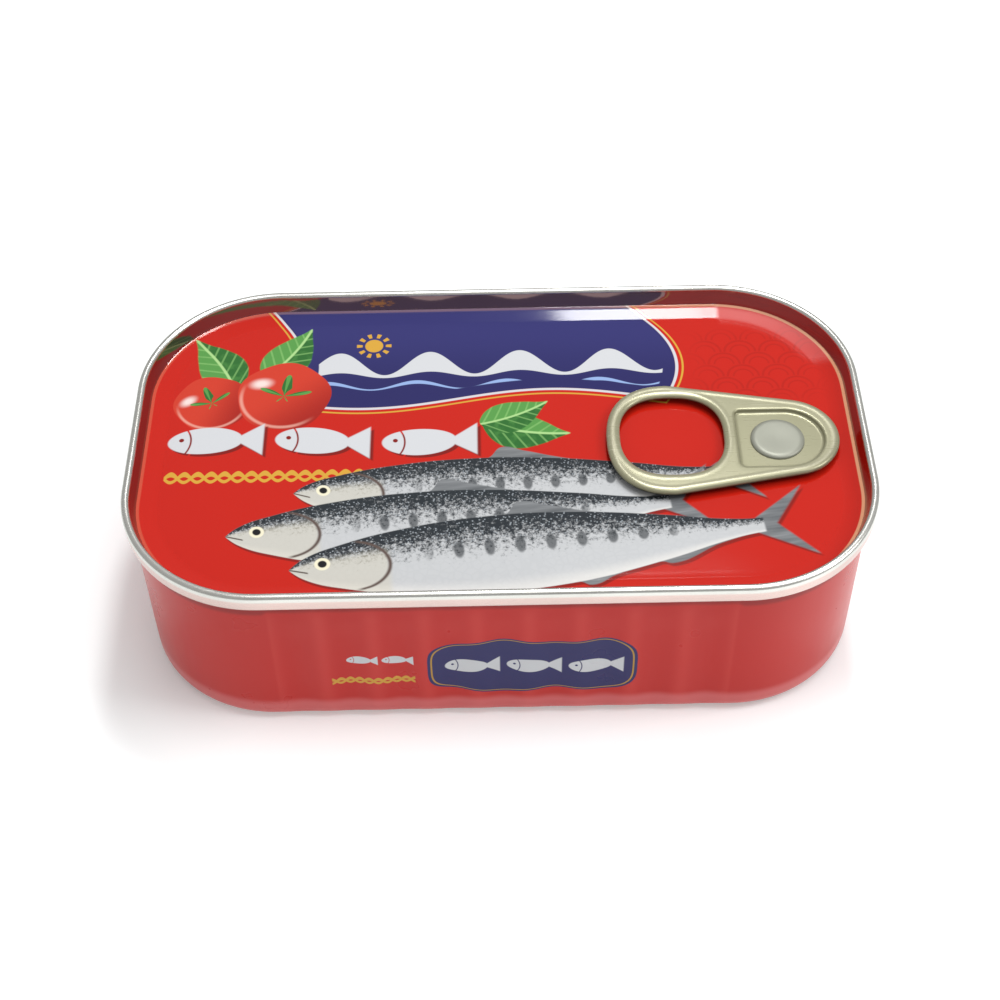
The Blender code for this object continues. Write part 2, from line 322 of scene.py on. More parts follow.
class Pad:
    """Puts nodes in one tree and links them to what they are given."""

    def __init__(self, tree):
        self.tree = tree

    def give(self, socket, value):
        """Link an amount or a socket to a socket, or set a plain value on it."""
        if isinstance(value, Amount):
            value = value.socket
        if isinstance(value, bpy.types.NodeSocket):
            self.tree.links.new(value, socket)
        elif socket.type == "RGBA" and len(value) == 3:
            socket.default_value = (*value, 1.0)
        else:
            socket.default_value = value

    def add(self, kind, values=None, **settings):
        """A node of one kind, with settings on it and values in its inputs, by name or number."""
        node = self.tree.nodes.new(kind)
        for key, setting in settings.items():
            setattr(node, key, setting)
        for key, value in (values or {}).items():
            self.give(node.inputs[key], value)
        return node

    def figure(self, operation, *values):
        """One Math node."""
        node = self.add("ShaderNodeMath", dict(enumerate(values)), operation=operation)
        return Amount(self, node.outputs[0])

    def distance(self, x, y, y_weight=1.0):
        """How far a place is from the origin, with y weighted."""
        return self.figure("SQRT", x * x + y * y * y_weight)

    def step(self, value, low, high):
        """A smooth step from 0 at low to 1 at high; low may be the greater."""
        values = {"Value": value, "From Min": low, "From Max": high}
        node = self.add("ShaderNodeMapRange", values, interpolation_type="SMOOTHSTEP")
        return Amount(self, node.outputs["Result"])

    def curve(self, value, points):
        """A curve through given points from 0 to 1 along and up."""
        node = self.add("ShaderNodeFloatCurve", {"Value": value})
        line = node.mapping.curves[0]
        line.points[0].location = points[0]
        line.points[1].location = points[-1]
        for along, up in points[1:-1]:
            line.points.new(along, up)
        node.mapping.update()
        return Amount(self, node.outputs["Value"])

    def mix(self, share, under, over):
        """One colour over another by a share."""
        node = self.add("ShaderNodeMix", {"Factor": share}, data_type="RGBA")
        colour_inputs = [socket for socket in node.inputs if socket.type == "RGBA"]
        for socket, value in zip(colour_inputs, (under, over)):
            self.give(socket, value)
        return [socket for socket in node.outputs if socket.type == "RGBA"][0]

    def noise(self, point, scale, detail=2.0, roughness=0.5):
        """Smooth noise from 0 to 1."""
        values = {"Vector": point, "Scale": scale, "Detail": detail, "Roughness": roughness}
        return Amount(self, self.add("ShaderNodeTexNoise", values).outputs[0])

    def cells(self, point, scale, feature="F1"):
        """Distance to the nearest cell point, or to the nearest cell edge."""
        node = self.add("ShaderNodeTexVoronoi", {"Vector": point, "Scale": scale}, feature=feature)
        return Amount(self, node.outputs["Distance"])

    def parts(self, point):
        """The three numbers of a vector."""
        node = self.add("ShaderNodeSeparateXYZ", {"Vector": point})
        return [Amount(self, socket) for socket in node.outputs]

    def vector(self, x, y, z=0.0):
        """A vector of three numbers."""
        return self.add("ShaderNodeCombineXYZ", {"X": x, "Y": y, "Z": z}).outputs["Vector"]

    def placed(self, point, centre, turn, size):
        """A point seen from a centre, turned and scaled so that size is 1."""
        values = {
            "Vector": point,
            "Location": centre,
            "Rotation": self.vector(0.0, 0.0, turn),
            "Scale": self.vector(size, size, 1.0),
        }
        return self.add("ShaderNodeMapping", values, vector_type="TEXTURE").outputs["Vector"]

    def group(self, tree, values):
        """A node group with values in its named inputs."""
        node = self.add("ShaderNodeGroup", node_tree=tree)
        for key, value in values.items():
            self.give(node.inputs[key], value)
        return node


SOCKETS = {"vector": "NodeSocketVector", "number": "NodeSocketFloat", "colour": "NodeSocketColor"}


def start_group(name, inputs, outputs):
    """A new shader node group: its pad, its inputs by name, and the node to give its outputs to."""
    tree = bpy.data.node_groups.new(name, "ShaderNodeTree")
    for label, kind in inputs.items():
        tree.interface.new_socket(name=label, in_out="INPUT", socket_type=SOCKETS[kind])
    for label, kind in outputs.items():
        tree.interface.new_socket(name=label, in_out="OUTPUT", socket_type=SOCKETS[kind])
    pad = Pad(tree)
    entry = pad.add("NodeGroupInput")
    leave = pad.add("NodeGroupOutput")
    given = {}
    for label, kind in inputs.items():
        socket = entry.outputs[label]
        given[label] = Amount(pad, socket) if kind == "number" else socket
    return pad, given, leave


def kept_group(name, builder, *values):
    """A node group made by its builder the first time that it is asked for."""
    return bpy.data.node_groups.get(name) or builder(name, *values)


def surface_wear(name):
    """Fine grain, broad smudges and hair scratches that every finish of the tin shares."""
    pad, given, leave = start_group(
        name,
        {"Point": "vector", "Grain Scale": "number", "Scratch Turn": "number"},
        {"Grain": "number", "Smudge": "number", "Scratch": "number"},
    )
    grain = pad.noise(given["Point"], given["Grain Scale"], 3.0, 0.6)
    smudge = pad.noise(given["Point"], 0.11, 3.0, 0.55)
    brushed = pad.add(
        "ShaderNodeMapping",
        {
            "Vector": given["Point"],
            "Rotation": pad.vector(0.0, 0.0, given["Scratch Turn"]),
            "Scale": (0.08, 2.6, 1.0),
        },
    ).outputs["Vector"]
    streak = pad.noise(brushed, 1.0, 2.0, 0.6)
    patch = pad.noise(given["Point"], 0.05, 1.0).above(0.52, 0.08)
    pad.give(leave.inputs["Grain"], grain)
    pad.give(leave.inputs["Smudge"], smudge)
    pad.give(leave.inputs["Scratch"], streak.within(0.60, 0.63, 0.012) * patch)
    return pad.tree


def printed_fish(name):
    """A whole fish in print: snout at 0 and tail at 1 along its own length."""
    pad, given, leave = start_group(
        name,
        {"Point": "vector", "Centre": "vector", "Turn": "number", "Length": "number", "Bend": "number",
         "Flank": "colour", "Back": "colour"},
        {"Colour": "colour", "Mask": "number"},
    )
    local = pad.placed(given["Point"], given["Centre"], given["Turn"], given["Length"])
    along, side, _ = pad.parts(local)
    along = along + 0.5
    side = side - given["Bend"] * (along - 0.5) * (along - 0.5)
    depth = pad.curve(along, (
        (0.0, 0.0), (0.03, 0.026), (0.10, 0.054), (0.22, 0.082), (0.38, 0.096), (0.55, 0.086),
        (0.72, 0.055), (0.84, 0.026), (0.90, 0.018), (1.0, 0.018)))
    fins = pad.curve(along, (
        (0.0, 0.0), (0.42, 0.0), (0.45, 0.030), (0.50, 0.020), (0.57, 0.004), (0.60, 0.0), (1.0, 0.0)))
    keel = pad.curve(along, (
        (0.0, 0.0), (0.54, 0.0), (0.56, 0.014), (0.61, 0.002), (0.70, 0.001), (0.72, 0.012),
        (0.82, 0.002), (1.0, 0.0)))
    away = abs(side)
    on_back = side.above(0.0, 0.001)
    fin_reach = depth + fins * on_back + keel * (1.0 - on_back)
    tail_edge = along.above(0.88, 0.004) * (away - (along - 0.885) * 0.66).below(0.012, 0.003)
    tail_notch = (along - away * 0.75).below(0.935, 0.004)
    tail = tail_edge * tail_notch * along.below(1.0, 0.004)
    trunk = (depth - away).above(0.0, 0.0016) * along.within(0.0, 0.91, 0.003)
    fin = (fin_reach - away).above(0.0, 0.0020) * along.within(0.0, 0.91, 0.003)
    across = side / (depth + 0.0005)
    stipple = pad.noise(local, 120.0, 4.0, 0.8) - 0.5
    coarse = pad.noise(local, 26.0, 2.0, 0.6) - 0.5
    darkness = pad.step(across + stipple * 2.6 + coarse * 0.5, 0.05, 0.75)
    scales = pad.cells(local, 64.0, "DISTANCE_TO_EDGE").below(0.10, 0.06)
    colour = pad.mix(scales * 0.05, given["Flank"], (0.20, 0.22, 0.24))
    colour = pad.mix(pad.step(across, -0.55, -1.0) * 0.6, colour, (0.72, 0.70, 0.66))
    colour = pad.mix(darkness, colour, given["Back"])
    glints = pad.cells(local, 150.0).below(0.25, 0.10) * pad.step(across, 0.1, 0.4)
    colour = pad.mix(glints * 0.55, colour, (0.42, 0.46, 0.50))
    band = pad.figure("FRACT", along * 17.0) - 0.5
    spots = (band * band + (across - 0.20) * (across - 0.20) * 0.6).below(0.028, 0.014)
    colour = pad.mix(spots * along.within(0.27, 0.74, 0.02) * 0.75, colour, given["Back"])
    colour = pad.mix(along.below(0.19, 0.008) * across.below(0.42, 0.2) * 0.55, colour, (0.52, 0.49, 0.40))
    gill_x = along - 0.115
    gill = pad.distance(gill_x, side, 1.6)
    gill_line = gill.within(0.073, 0.080, 0.003) * along.above(0.13, 0.01)
    colour = pad.mix(gill_line * trunk, colour, (0.10, 0.07, 0.06))
    eye_x = along - 0.064
    eye_y = side - 0.010
    eye = pad.distance(eye_x, eye_y)
    colour = pad.mix(eye.below(0.0150, 0.0015), colour, (0.74, 0.70, 0.52))
    colour = pad.mix(eye.below(0.0085, 0.0015), colour, (0.01, 0.01, 0.012))
    mouth = (side + along * 0.30).within(-0.0010, 0.0025, 0.0015) * along.below(0.036, 0.002)
    colour = pad.mix(mouth, colour, (0.08, 0.06, 0.05))
    rays = pad.noise(pad.vector(along * 8.0, side * 90.0), 1.0)
    fin_colour = pad.mix(rays, (0.030, 0.036, 0.042), (0.30, 0.31, 0.32))
    colour = pad.mix(trunk, fin_colour, colour)
    pad.give(leave.inputs["Colour"], colour)
    pad.give(leave.inputs["Mask"], pad.figure("MAXIMUM", pad.figure("MAXIMUM", trunk, fin), tail))
    return pad.tree


def printed_leaf(name):
    """A pointed leaf with a midrib: stalk at 0 and tip at 1 along its own length."""
    pad, given, leave = start_group(
        name,
        {"Point": "vector", "Centre": "vector", "Turn": "number", "Length": "number",
         "Light": "colour", "Shade": "colour"},
        {"Colour": "colour", "Mask": "number"},
    )
    local = pad.placed(given["Point"], given["Centre"], given["Turn"], given["Length"])
    along, side, _ = pad.parts(local)
    side = side - (along - 0.5) * (along - 0.5) * 0.22
    away = abs(side)
    reach = pad.curve(along, (
        (0.0, 0.0), (0.05, 0.10), (0.22, 0.24), (0.42, 0.27), (0.68, 0.18), (0.88, 0.06), (1.0, 0.0)))
    mask = (reach - away).above(0.0, 0.012) * along.within(0.01, 0.99, 0.01)
    colour = pad.mix(side.above(0.0, 0.02), given["Shade"], given["Light"])
    veins = ((along - away * 0.9) * 42.0).sine().above(0.80, 0.15) * 0.45
    colour = pad.mix(veins, colour, (0.25, 0.50, 0.16))
    mottle = pad.noise(local, 7.0).above(0.60, 0.12) * 0.35
    colour = pad.mix(mottle, colour, given["Light"])
    colour = pad.mix(away.below(0.016, 0.008), colour, (0.34, 0.56, 0.22))
    pad.give(leave.inputs["Colour"], colour)
    pad.give(leave.inputs["Mask"], mask)
    return pad.tree


def printed_tomato(name):
    """A round tomato with its green star."""
    pad, given, leave = start_group(
        name,
        {"Point": "vector", "Centre": "vector", "Turn": "number", "Radius": "number",
         "Skin": "colour", "Light": "colour", "Shade": "colour"},
        {"Colour": "colour", "Mask": "number"},
    )
    local = pad.placed(given["Point"], given["Centre"], given["Turn"], given["Radius"])
    x, y, _ = pad.parts(local)
    radius = pad.distance(x, y)
    angle = pad.figure("ARCTAN2", y, x)
    lobes = (angle * 5.0).cosine()
    edge = radius - lobes * 0.025
    whole = pad.mix(pad.step(x * 0.6 - y, -0.3, 1.2), (0.52, 0.040, 0.020), given["Skin"])
    gleam_x = x + 0.42
    gleam_y = y - 0.46
    gleam = pad.distance(gleam_x, gleam_y, 2.6)
    whole = pad.mix(gleam.below(0.20, 0.14) * 0.85, whole, (0.78, 0.70, 0.66))
    rim_light = radius.within(0.86, 0.93, 0.03) * pad.step(x * -1.0 - y, 0.1, 0.9) * 0.6
    whole = pad.mix(rim_light, whole, (0.75, 0.42, 0.34))
    star_reach = (lobes * 0.5 + 0.5) ** 3.0 * 0.48 + 0.10
    star_x = x - 0.10
    star_y = y - 0.22
    star_radius = pad.distance(star_x, star_y, 2.2)
    star = (star_reach - star_radius).above(0.0, 0.02)
    whole = pad.mix(star, whole, pad.mix(lobes.above(0.90, 0.05), given["Shade"], given["Light"]))
    pad.give(leave.inputs["Colour"], whole)
    pad.give(leave.inputs["Mask"], edge.below(0.98, 0.012))
    return pad.tree


def printed_shoal(name):
    """A row of small plain fish shapes along X, like beads on a gently waving line."""
    pad, given, leave = start_group(
        name,
        {"Point": "vector", "Start": "vector", "Pitch": "number", "Count": "number", "Sway": "number"},
        {"Mask": "number"},
    )
    local = pad.placed(given["Point"], given["Start"], 0.0, given["Pitch"])
    along, side, _ = pad.parts(local)
    side = side - (along * 2.1).sine() * given["Sway"]
    cell = pad.figure("FRACT", along)
    x = cell - 0.40
    trunk = (x * x * 8.2 + side * side * 36.0).below(1.0, 0.06)
    tail = cell.within(0.70, 0.94, 0.012) * (abs(side) - (cell - 0.66) * 0.72).below(0.0, 0.012)
    eye_x = cell - 0.175
    eye_y = side - 0.025
    eye = (eye_x * eye_x + eye_y * eye_y).below(0.00055, 0.0002)
    gill_x = cell + 0.02
    gill = pad.distance(gill_x, side).within(0.275, 0.292, 0.006)
    shape = pad.figure("MAXIMUM", trunk, tail) * (1.0 - eye) * (1.0 - gill)
    row = along.above(0.0, 0.002) * (given["Count"] - along).above(0.0, 0.002)
    pad.give(leave.inputs["Mask"], shape * row)
    return pad.tree


def wave_line(pad, x, y, height, swing, wavelength, thick, thin, phase):
    """A waving brush line, thick on its crests and thin on its slopes."""
    turn = x * (2 * math.pi / wavelength) + phase
    middle = y - height - turn.sine() * swing
    swell = turn.sine() * 0.5 + 0.5
    half = swell * (thick - thin) + thin
    return (half - abs(middle)).above(0.0, 0.06)


def millimetres(pad):
    """The piece's Object coordinates in millimetres."""
    place = pad.add("ShaderNodeTexCoord").outputs["Object"]
    scaled = pad.add("ShaderNodeVectorMath", {0: place, "Scale": 1 / MM}, operation="SCALE")
    return scaled.outputs["Vector"]


def sea_band(pad, x, y, colour, inks):
    """The navy band along the far side, with its waves, keylines and a small gold sun."""
    turn = x * (2 * math.pi / 54.0) + 0.7
    foot = y - 9.6 - turn.sine() * 1.7
    left = x + 28.5 + (y - 16.0) * (y - 16.0) * 0.035
    right = 26.5 - x - (y - 16.0) * (y - 16.0) * 0.045
    inner = pad.figure("MINIMUM", foot, pad.figure("MINIMUM", left, right))
    colour = pad.mix(inner.above(0.0, 0.06), colour, inks.navy)
    colour = pad.mix(inner.within(-0.45, 0.0, 0.06), colour, inks.white)
    colour = pad.mix(inner.within(-1.25, -0.95, 0.06), colour, inks.gold)
    glow = pad.step(y, 12.0, 24.0) * inner.above(0.2, 0.3) * 0.35
    colour = pad.mix(glow, colour, (0.045, 0.045, 0.20))
    inside = inner.above(1.9, 0.1)
    crest = wave_line(pad, x, y, 15.8, 1.5, 13.4, 2.1, 0.30, 0.0)
    colour = pad.mix(crest * inside, colour, inks.white)
    second = wave_line(pad, x, y, 12.3, 0.75, 13.4, 0.36, 0.12, 0.9)
    colour = pad.mix(second * inside, colour, (0.25, 0.36, 0.62))
    return sun_disc(pad, x, y, colour, inks, (-18.5, 20.9))


def sun_disc(pad, x, y, colour, inks, centre):
    """A small gold sun with eight rays."""
    sun_x = x - centre[0]
    sun_y = y - centre[1]
    radius = pad.distance(sun_x, sun_y)
    angle = pad.figure("ARCTAN2", sun_y, sun_x)
    rays = (angle * 10.0).cosine().above(0.25, 0.15) * radius.within(1.75, 2.6, 0.08)
    disc = radius.below(1.35, 0.08)
    return pad.mix(pad.figure("MAXIMUM", rays, disc), colour, inks.gold)


def stamped(pad, colour, motif_tree, values, share=1.0, ink=None):
    """A motif printed over a colour by a share, in its own colours or in one ink."""
    motif = pad.group(motif_tree, values)
    mask = Amount(pad, motif.outputs["Mask"]) * share
    return pad.mix(mask, colour, motif.outputs["Colour"] if ink is None else ink)


def lid_print(name, inks):
    """The lid's whole print as one group: colour by place, in millimetres."""
    pad, given, leave = start_group(name, {"Point": "vector"}, {"Colour": "colour"})
    x, y, _ = pad.parts(given["Point"])
    flat_point = pad.vector(x, y)
    drift = pad.noise(flat_point, 0.045, 2.0)
    colour = pad.mix(drift * 0.25, inks.red, [ink * 0.84 for ink in inks.red])
    colour = ghost_waves(pad, x, y, colour, inks)
    colour = sea_band(pad, x, y, colour, inks)
    tomato = kept_group("Printed Tomato", printed_tomato)
    leaf = kept_group("Printed Leaf", printed_leaf)
    fish = kept_group("Printed Fish", printed_fish)
    shoal = kept_group("Printed Shoal", printed_shoal)
    greens = {"Light": inks.leaf, "Shade": inks.leaf_shade}
    for centre, turn, length in LEAVES:
        place = {"Point": flat_point, "Centre": (*centre, 0.0), "Turn": math.radians(turn)}
        colour = stamped(pad, colour, leaf, {**place, **greens, "Length": length})
    for centre, turn, radius in TOMATOES:
        place = {"Point": flat_point, "Centre": (*centre, 0.0), "Turn": math.radians(turn)}
        colour = stamped(pad, colour, tomato, {**place, **greens, "Radius": radius, "Skin": inks.tomato})
    row = {"Start": (-48.4, 1.4, 0.0), "Pitch": 15.4, "Count": 3.0, "Sway": 0.04}
    below_row = {"Point": pad.vector(x - 0.5, y + 0.5), **row}
    colour = stamped(pad, colour, shoal, below_row, 0.8, SHOAL_SHADE)
    colour = stamped(pad, colour, shoal, {"Point": flat_point, **row}, 1.0, inks.white)
    for phase in (0.0, math.pi):
        strand = wave_line(pad, x, y, -5.4, 0.75, 3.8, 0.48, 0.30, phase) * x.within(-47.5, -16.0, 0.1)
        colour = pad.mix(strand, colour, inks.gold)
    for centre, turn, length, bend in FISHES:
        values = {"Point": flat_point, "Centre": (*centre, 0.0), "Turn": math.radians(turn)}
        values.update({"Length": length, "Bend": bend, "Flank": inks.flank, "Back": inks.back})
        below_fish = {**values, "Point": pad.vector(x - 0.35, y + 0.55)}
        colour = stamped(pad, colour, fish, below_fish, 0.65, FISH_SHADE)
        colour = stamped(pad, colour, fish, values)
    pad.give(leave.inputs["Colour"], colour)
    return pad.tree


# Motifs of the lid's print: centres in millimetres, turns in degrees, lengths in millimetres
LEAVES = (
    ((-38.0, 12.0), 122, 13.0),
    ((-34.0, 14.0), 58, 12.5),
    ((-2.5, 3.6), -10, 13.0),
    ((-2.5, 3.6), 24, 11.0),
)
TOMATOES = (
    ((-42.0, 9.4), 40, 5.6),
    ((-31.5, 10.6), 10, 7.0),
)
FISHES = (
    ((4.0, -8.6), 3, 66.0, 0.10),
    ((-4.0, -14.8), 5, 68.0, 0.08),
    ((7.0, -19.6), 6, 72.0, 0.04),
)

# Dark reds under the shoal and under the fish
SHOAL_SHADE = (0.12, 0.008, 0.006)
FISH_SHADE = (0.10, 0.008, 0.006)

# The wall's label in millimetres, and its rows of small fish: start, pitch, count and sway
LABEL_HALF_LENGTH = 14.6
WALL_SHOALS = (
    ((-8.6, 11.5, 0.0), 8.6, 3.0, 0.03),
    ((-22.0, 13.2, 0.0), 4.9, 2.0, 0.05),
)


def ghost_waves(pad, x, y, colour, inks):
    """Faint darker scallops printed tone on tone at the lid's far right."""
    row = pad.figure("FLOOR", y / 2.6)
    cell_x = pad.figure("FRACT", (x + row * 2.6) / 5.2) - 0.5
    cell_y = pad.figure("FRACT", y / 2.6)
    arc = pad.figure("SQRT", cell_x * cell_x * 4.0 + cell_y * cell_y)
    lines = arc.within(0.82, 0.95, 0.04) + arc.within(0.50, 0.60, 0.04)
    patch = x.within(30.0, 47.0, 3.0) * y.within(8.5, 22.5, 2.0)
    return pad.mix(lines * patch * 0.28, colour, [ink * 0.45 for ink in inks.red])


def wall_print(name, inks):
    """The wall's print: a red ground, a navy label, a short shoal and a rope line on the long sides, with
    painted light over it: lighter streaks on the flute ridges and a lighter band near the foot as painted
    highlights, and dark scalloped bands under the seam and along the foot as painted shade.
    """
    pad, given, leave = start_group(name, {"Point": "vector"}, {"Colour": "colour"})
    x, y, z = pad.parts(given["Point"])
    drift = pad.noise(given["Point"], 0.05, 2.0)
    colour = pad.mix(drift * 0.35, inks.wall_red, [ink * 0.82 for ink in inks.wall_red])
    on_long_side = abs(y).above(26.0, 0.5)
    reach = FLUTE_COUNT * FLUTE_PITCH / 2 / MM
    turn = (x + reach) * (2 * math.pi * MM / FLUTE_PITCH)
    ridge = (turn.cosine() * 0.5 + 0.5) * on_long_side * abs(x).below(reach, 0.5)
    # Painted highlight: lighter red streaks along the flute ridges.
    colour = pad.mix(ridge ** 4.0 * z.within(1.5, 24.0, 1.5) * 0.30, colour, (0.62, 0.060, 0.050))
    # Painted highlight: a lighter pinkish band low on the wall, above the foot.
    colour = pad.mix(z.within(1.1, 4.0, 0.9) * 0.65, colour, (0.64, 0.170, 0.170))
    # Painted shadow: a dark scalloped band just under the seam's overhang.
    painted_shadow_under_seam = (z - ridge * 0.5).above(24.2, 0.45)
    colour = pad.mix(painted_shadow_under_seam * 0.55, colour, (0.13, 0.010, 0.010))
    # Painted shade: a dark scalloped line along the foot of the wall.
    painted_shade_at_base = (z + ridge * 0.35).below(0.85, 0.2)
    colour = pad.mix(painted_shade_at_base * 0.6, colour, (0.17, 0.012, 0.012))
    label_x = (x - 4.0) / LABEL_HALF_LENGTH
    swell = (x * (2 * math.pi / LABEL_HALF_LENGTH)).cosine() * 0.40
    label_z = (z - 11.4) / (5.7 + swell)
    round_x = label_x * label_x
    round_z = label_z * label_z
    edge = (round_x * round_x * round_x + round_z * round_z) ** 0.5
    colour = pad.mix(edge.below(1.0, 0.012) * on_long_side, colour, inks.navy)
    keyline = edge.within(0.87, 0.91, 0.014) * on_long_side
    colour = pad.mix(keyline, colour, [ink * 0.8 for ink in inks.gold])
    shoal = kept_group("Printed Shoal", printed_shoal)
    for start, pitch, count, sway in WALL_SHOALS:
        row = {"Point": pad.vector(x, z), "Start": start, "Pitch": pitch, "Count": count, "Sway": sway}
        colour = stamped(pad, colour, shoal, row, on_long_side, inks.white)
    for phase in (0.0, math.pi):
        strand = wave_line(pad, x, z, 8.6, 0.45, 2.6, 0.34, 0.24, phase) * x.within(-24.0, -12.4, 0.1)
        colour = pad.mix(strand * on_long_side, colour, inks.gold)
    pad.give(leave.inputs["Colour"], colour)
    return pad.tree


def start_material(name):
    """A new node material: its pad and its Principled shader."""
    material = bpy.data.materials.new(name)
    material.use_nodes = True
    return material, Pad(material.node_tree), material.node_tree.nodes["Principled BSDF"]


def wear_of(pad, point, grain_scale, turn=0.3):
    """The shared wear group's outputs as amounts."""
    group = kept_group("Surface Wear", surface_wear)
    node = pad.group(group, {"Point": point, "Grain Scale": grain_scale, "Scratch Turn": turn})
    return [Amount(pad, socket) for socket in node.outputs]


def bump(pad, shader, height, depth):
    """Feed the shader's normal from a height in units of depth, in metres."""
    node = pad.add("ShaderNodeBump", {"Strength": 1.0, "Distance": depth, "Height": height})
    pad.give(shader.inputs["Normal"], node.outputs["Normal"])


def rim_inset(pad, point):
    """How far a place lies in from the seam's outer face, in millimetres."""
    x, y, _ = pad.parts(point)
    over_x = abs(x) - (CAD_HIGH.x - CORNER_RADIUS) / MM
    over_y = abs(y) - (CAD_HIGH.y - CORNER_RADIUS) / MM
    past_x = pad.figure("MAXIMUM", over_x, 0.0)
    past_y = pad.figure("MAXIMUM", over_y, 0.0)
    outside = pad.distance(past_x, past_y)
    inside = pad.figure("MINIMUM", pad.figure("MAXIMUM", over_x, over_y), 0.0)
    return CORNER_RADIUS / MM - outside - inside


# The lid's far right corner, where drawing has dulled the lacquer, in millimetres
DRAWN_CORNER_X = 33.8
DRAWN_CORNER_Y = 16.0
DRAWN_CORNER_WIDTH = 5.5


def lid_lacquer(settings):
    """Glossy printed lacquer of the lid's panel, with a gold unprinted line at its very edge that grows
    stronger towards +X as a painted highlight.
    """
    material, pad, shader = start_material("Lid Lacquer")
    point = millimetres(pad)
    group = kept_group("Lid Print", lid_print, settings.inks)
    colour = pad.group(group, {"Point": point}).outputs["Colour"]
    grain, smudge, _ = wear_of(pad, point, 2.2)
    inset = rim_inset(pad, point)
    x, y, _ = pad.parts(point)
    # The gold edge line is a fifth as strong at the left as at the right: a painted highlight on the right
    # side.
    gold = inset.below(CHUCK_FOOT_INSET / MM + 0.42, 0.08) * (pad.step(x, 8.0, 40.0) * 0.8 + 0.2)
    pad.give(shader.inputs["Base Color"], pad.mix(gold, colour, settings.metals.lacquer))
    drawn_corner = (
        x.above(DRAWN_CORNER_X, 0.5) * y.above(DRAWN_CORNER_Y, 2.0) * inset.below(DRAWN_CORNER_WIDTH, 1.0)
    )
    pad.give(shader.inputs["Roughness"], smudge * 0.04 + 0.06 + drawn_corner * 0.30)
    shader.inputs["Specular IOR Level"].default_value = 0.30
    swell = pad.noise(point, 0.055, 1.0)
    bump(pad, shader, swell * 30.0 + grain * 0.35, 0.000002)
    return material


def wall_lacquer(settings):
    """Satin printed lacquer of the drawn wall, and bare metal under the base."""
    material, pad, shader = start_material("Wall Lacquer")
    point = millimetres(pad)
    group = kept_group("Wall Print", wall_print, settings.inks)
    colour = pad.group(group, {"Point": point}).outputs["Colour"]
    grain, smudge, _ = wear_of(pad, point, 1.6)
    x, y, z = pad.parts(point)
    bare = z.below(0.25, 0.12)
    colour = pad.mix(bare, colour, settings.metals.base)
    pad.give(shader.inputs["Base Color"], colour)
    pad.give(shader.inputs["Roughness"], smudge * 0.10 + 0.24)
    pad.give(shader.inputs["Metallic"], bare)
    shader.inputs["Specular IOR Level"].default_value = 0.21
    upright = pad.noise(pad.vector(x, y, z * 0.12), 0.35, 2.0)
    bump(pad, shader, upright * 8.0 + grain * 0.6, 0.000003)
    return material


def seam_metal(settings):
    """Pale tinplate of the folded seam, rolled along its length, with a pinker copy of the metal on its
    outer face as a painted reflection.
    """
    material, pad, shader = start_material("Seam Metal")
    point = millimetres(pad)
    grain, smudge, scratch = wear_of(pad, point, 3.0)
    x, y, z = pad.parts(point)
    rolled = pad.noise(pad.vector(x * 0.2, y * 0.2, z * 6.0), 1.2, 2.0)
    # The outer face below the crest takes the pinker seam face colour: a painted reflection.
    face = z.below(TIN_HEIGHT / MM - 0.95, 0.2)
    tint = pad.mix(face, settings.metals.seam, settings.metals.seam_face)
    tint = pad.mix(smudge * 0.4, tint, (0.42, 0.39, 0.36))
    pad.give(shader.inputs["Base Color"], pad.mix(scratch * 0.1, tint, (0.80, 0.78, 0.72)))
    pad.give(shader.inputs["Roughness"], rolled * 0.10 + 0.22 + scratch * 0.15)
    shader.inputs["Metallic"].default_value = 1.0
    bump(pad, shader, rolled * 0.5 + grain * 0.1, 0.000003)
    return material


def chuck_metal(settings):
    """Dark metal inside the seam, mirror-bright on the far side and duller on the near one."""
    material, pad, shader = start_material("Chuck Wall Metal")
    point = millimetres(pad)
    grain, smudge, _ = wear_of(pad, point, 3.0)
    x, y, z = pad.parts(point)
    base = settings.metals.chuck
    colour = pad.mix(smudge * 0.5, base, [channel * 0.75 for channel in base])
    pad.give(shader.inputs["Base Color"], colour)
    pad.give(shader.inputs["Roughness"], smudge * 0.04 + pad.step(y, 0.0, -20.0) * 0.22 + 0.05)
    shader.inputs["Metallic"].default_value = 1.0
    drawn = pad.noise(pad.vector(x, y, z * 0.1), 0.8, 2.0)
    bump(pad, shader, drawn * 2.0 + grain * 0.3, 0.000003)
    return material


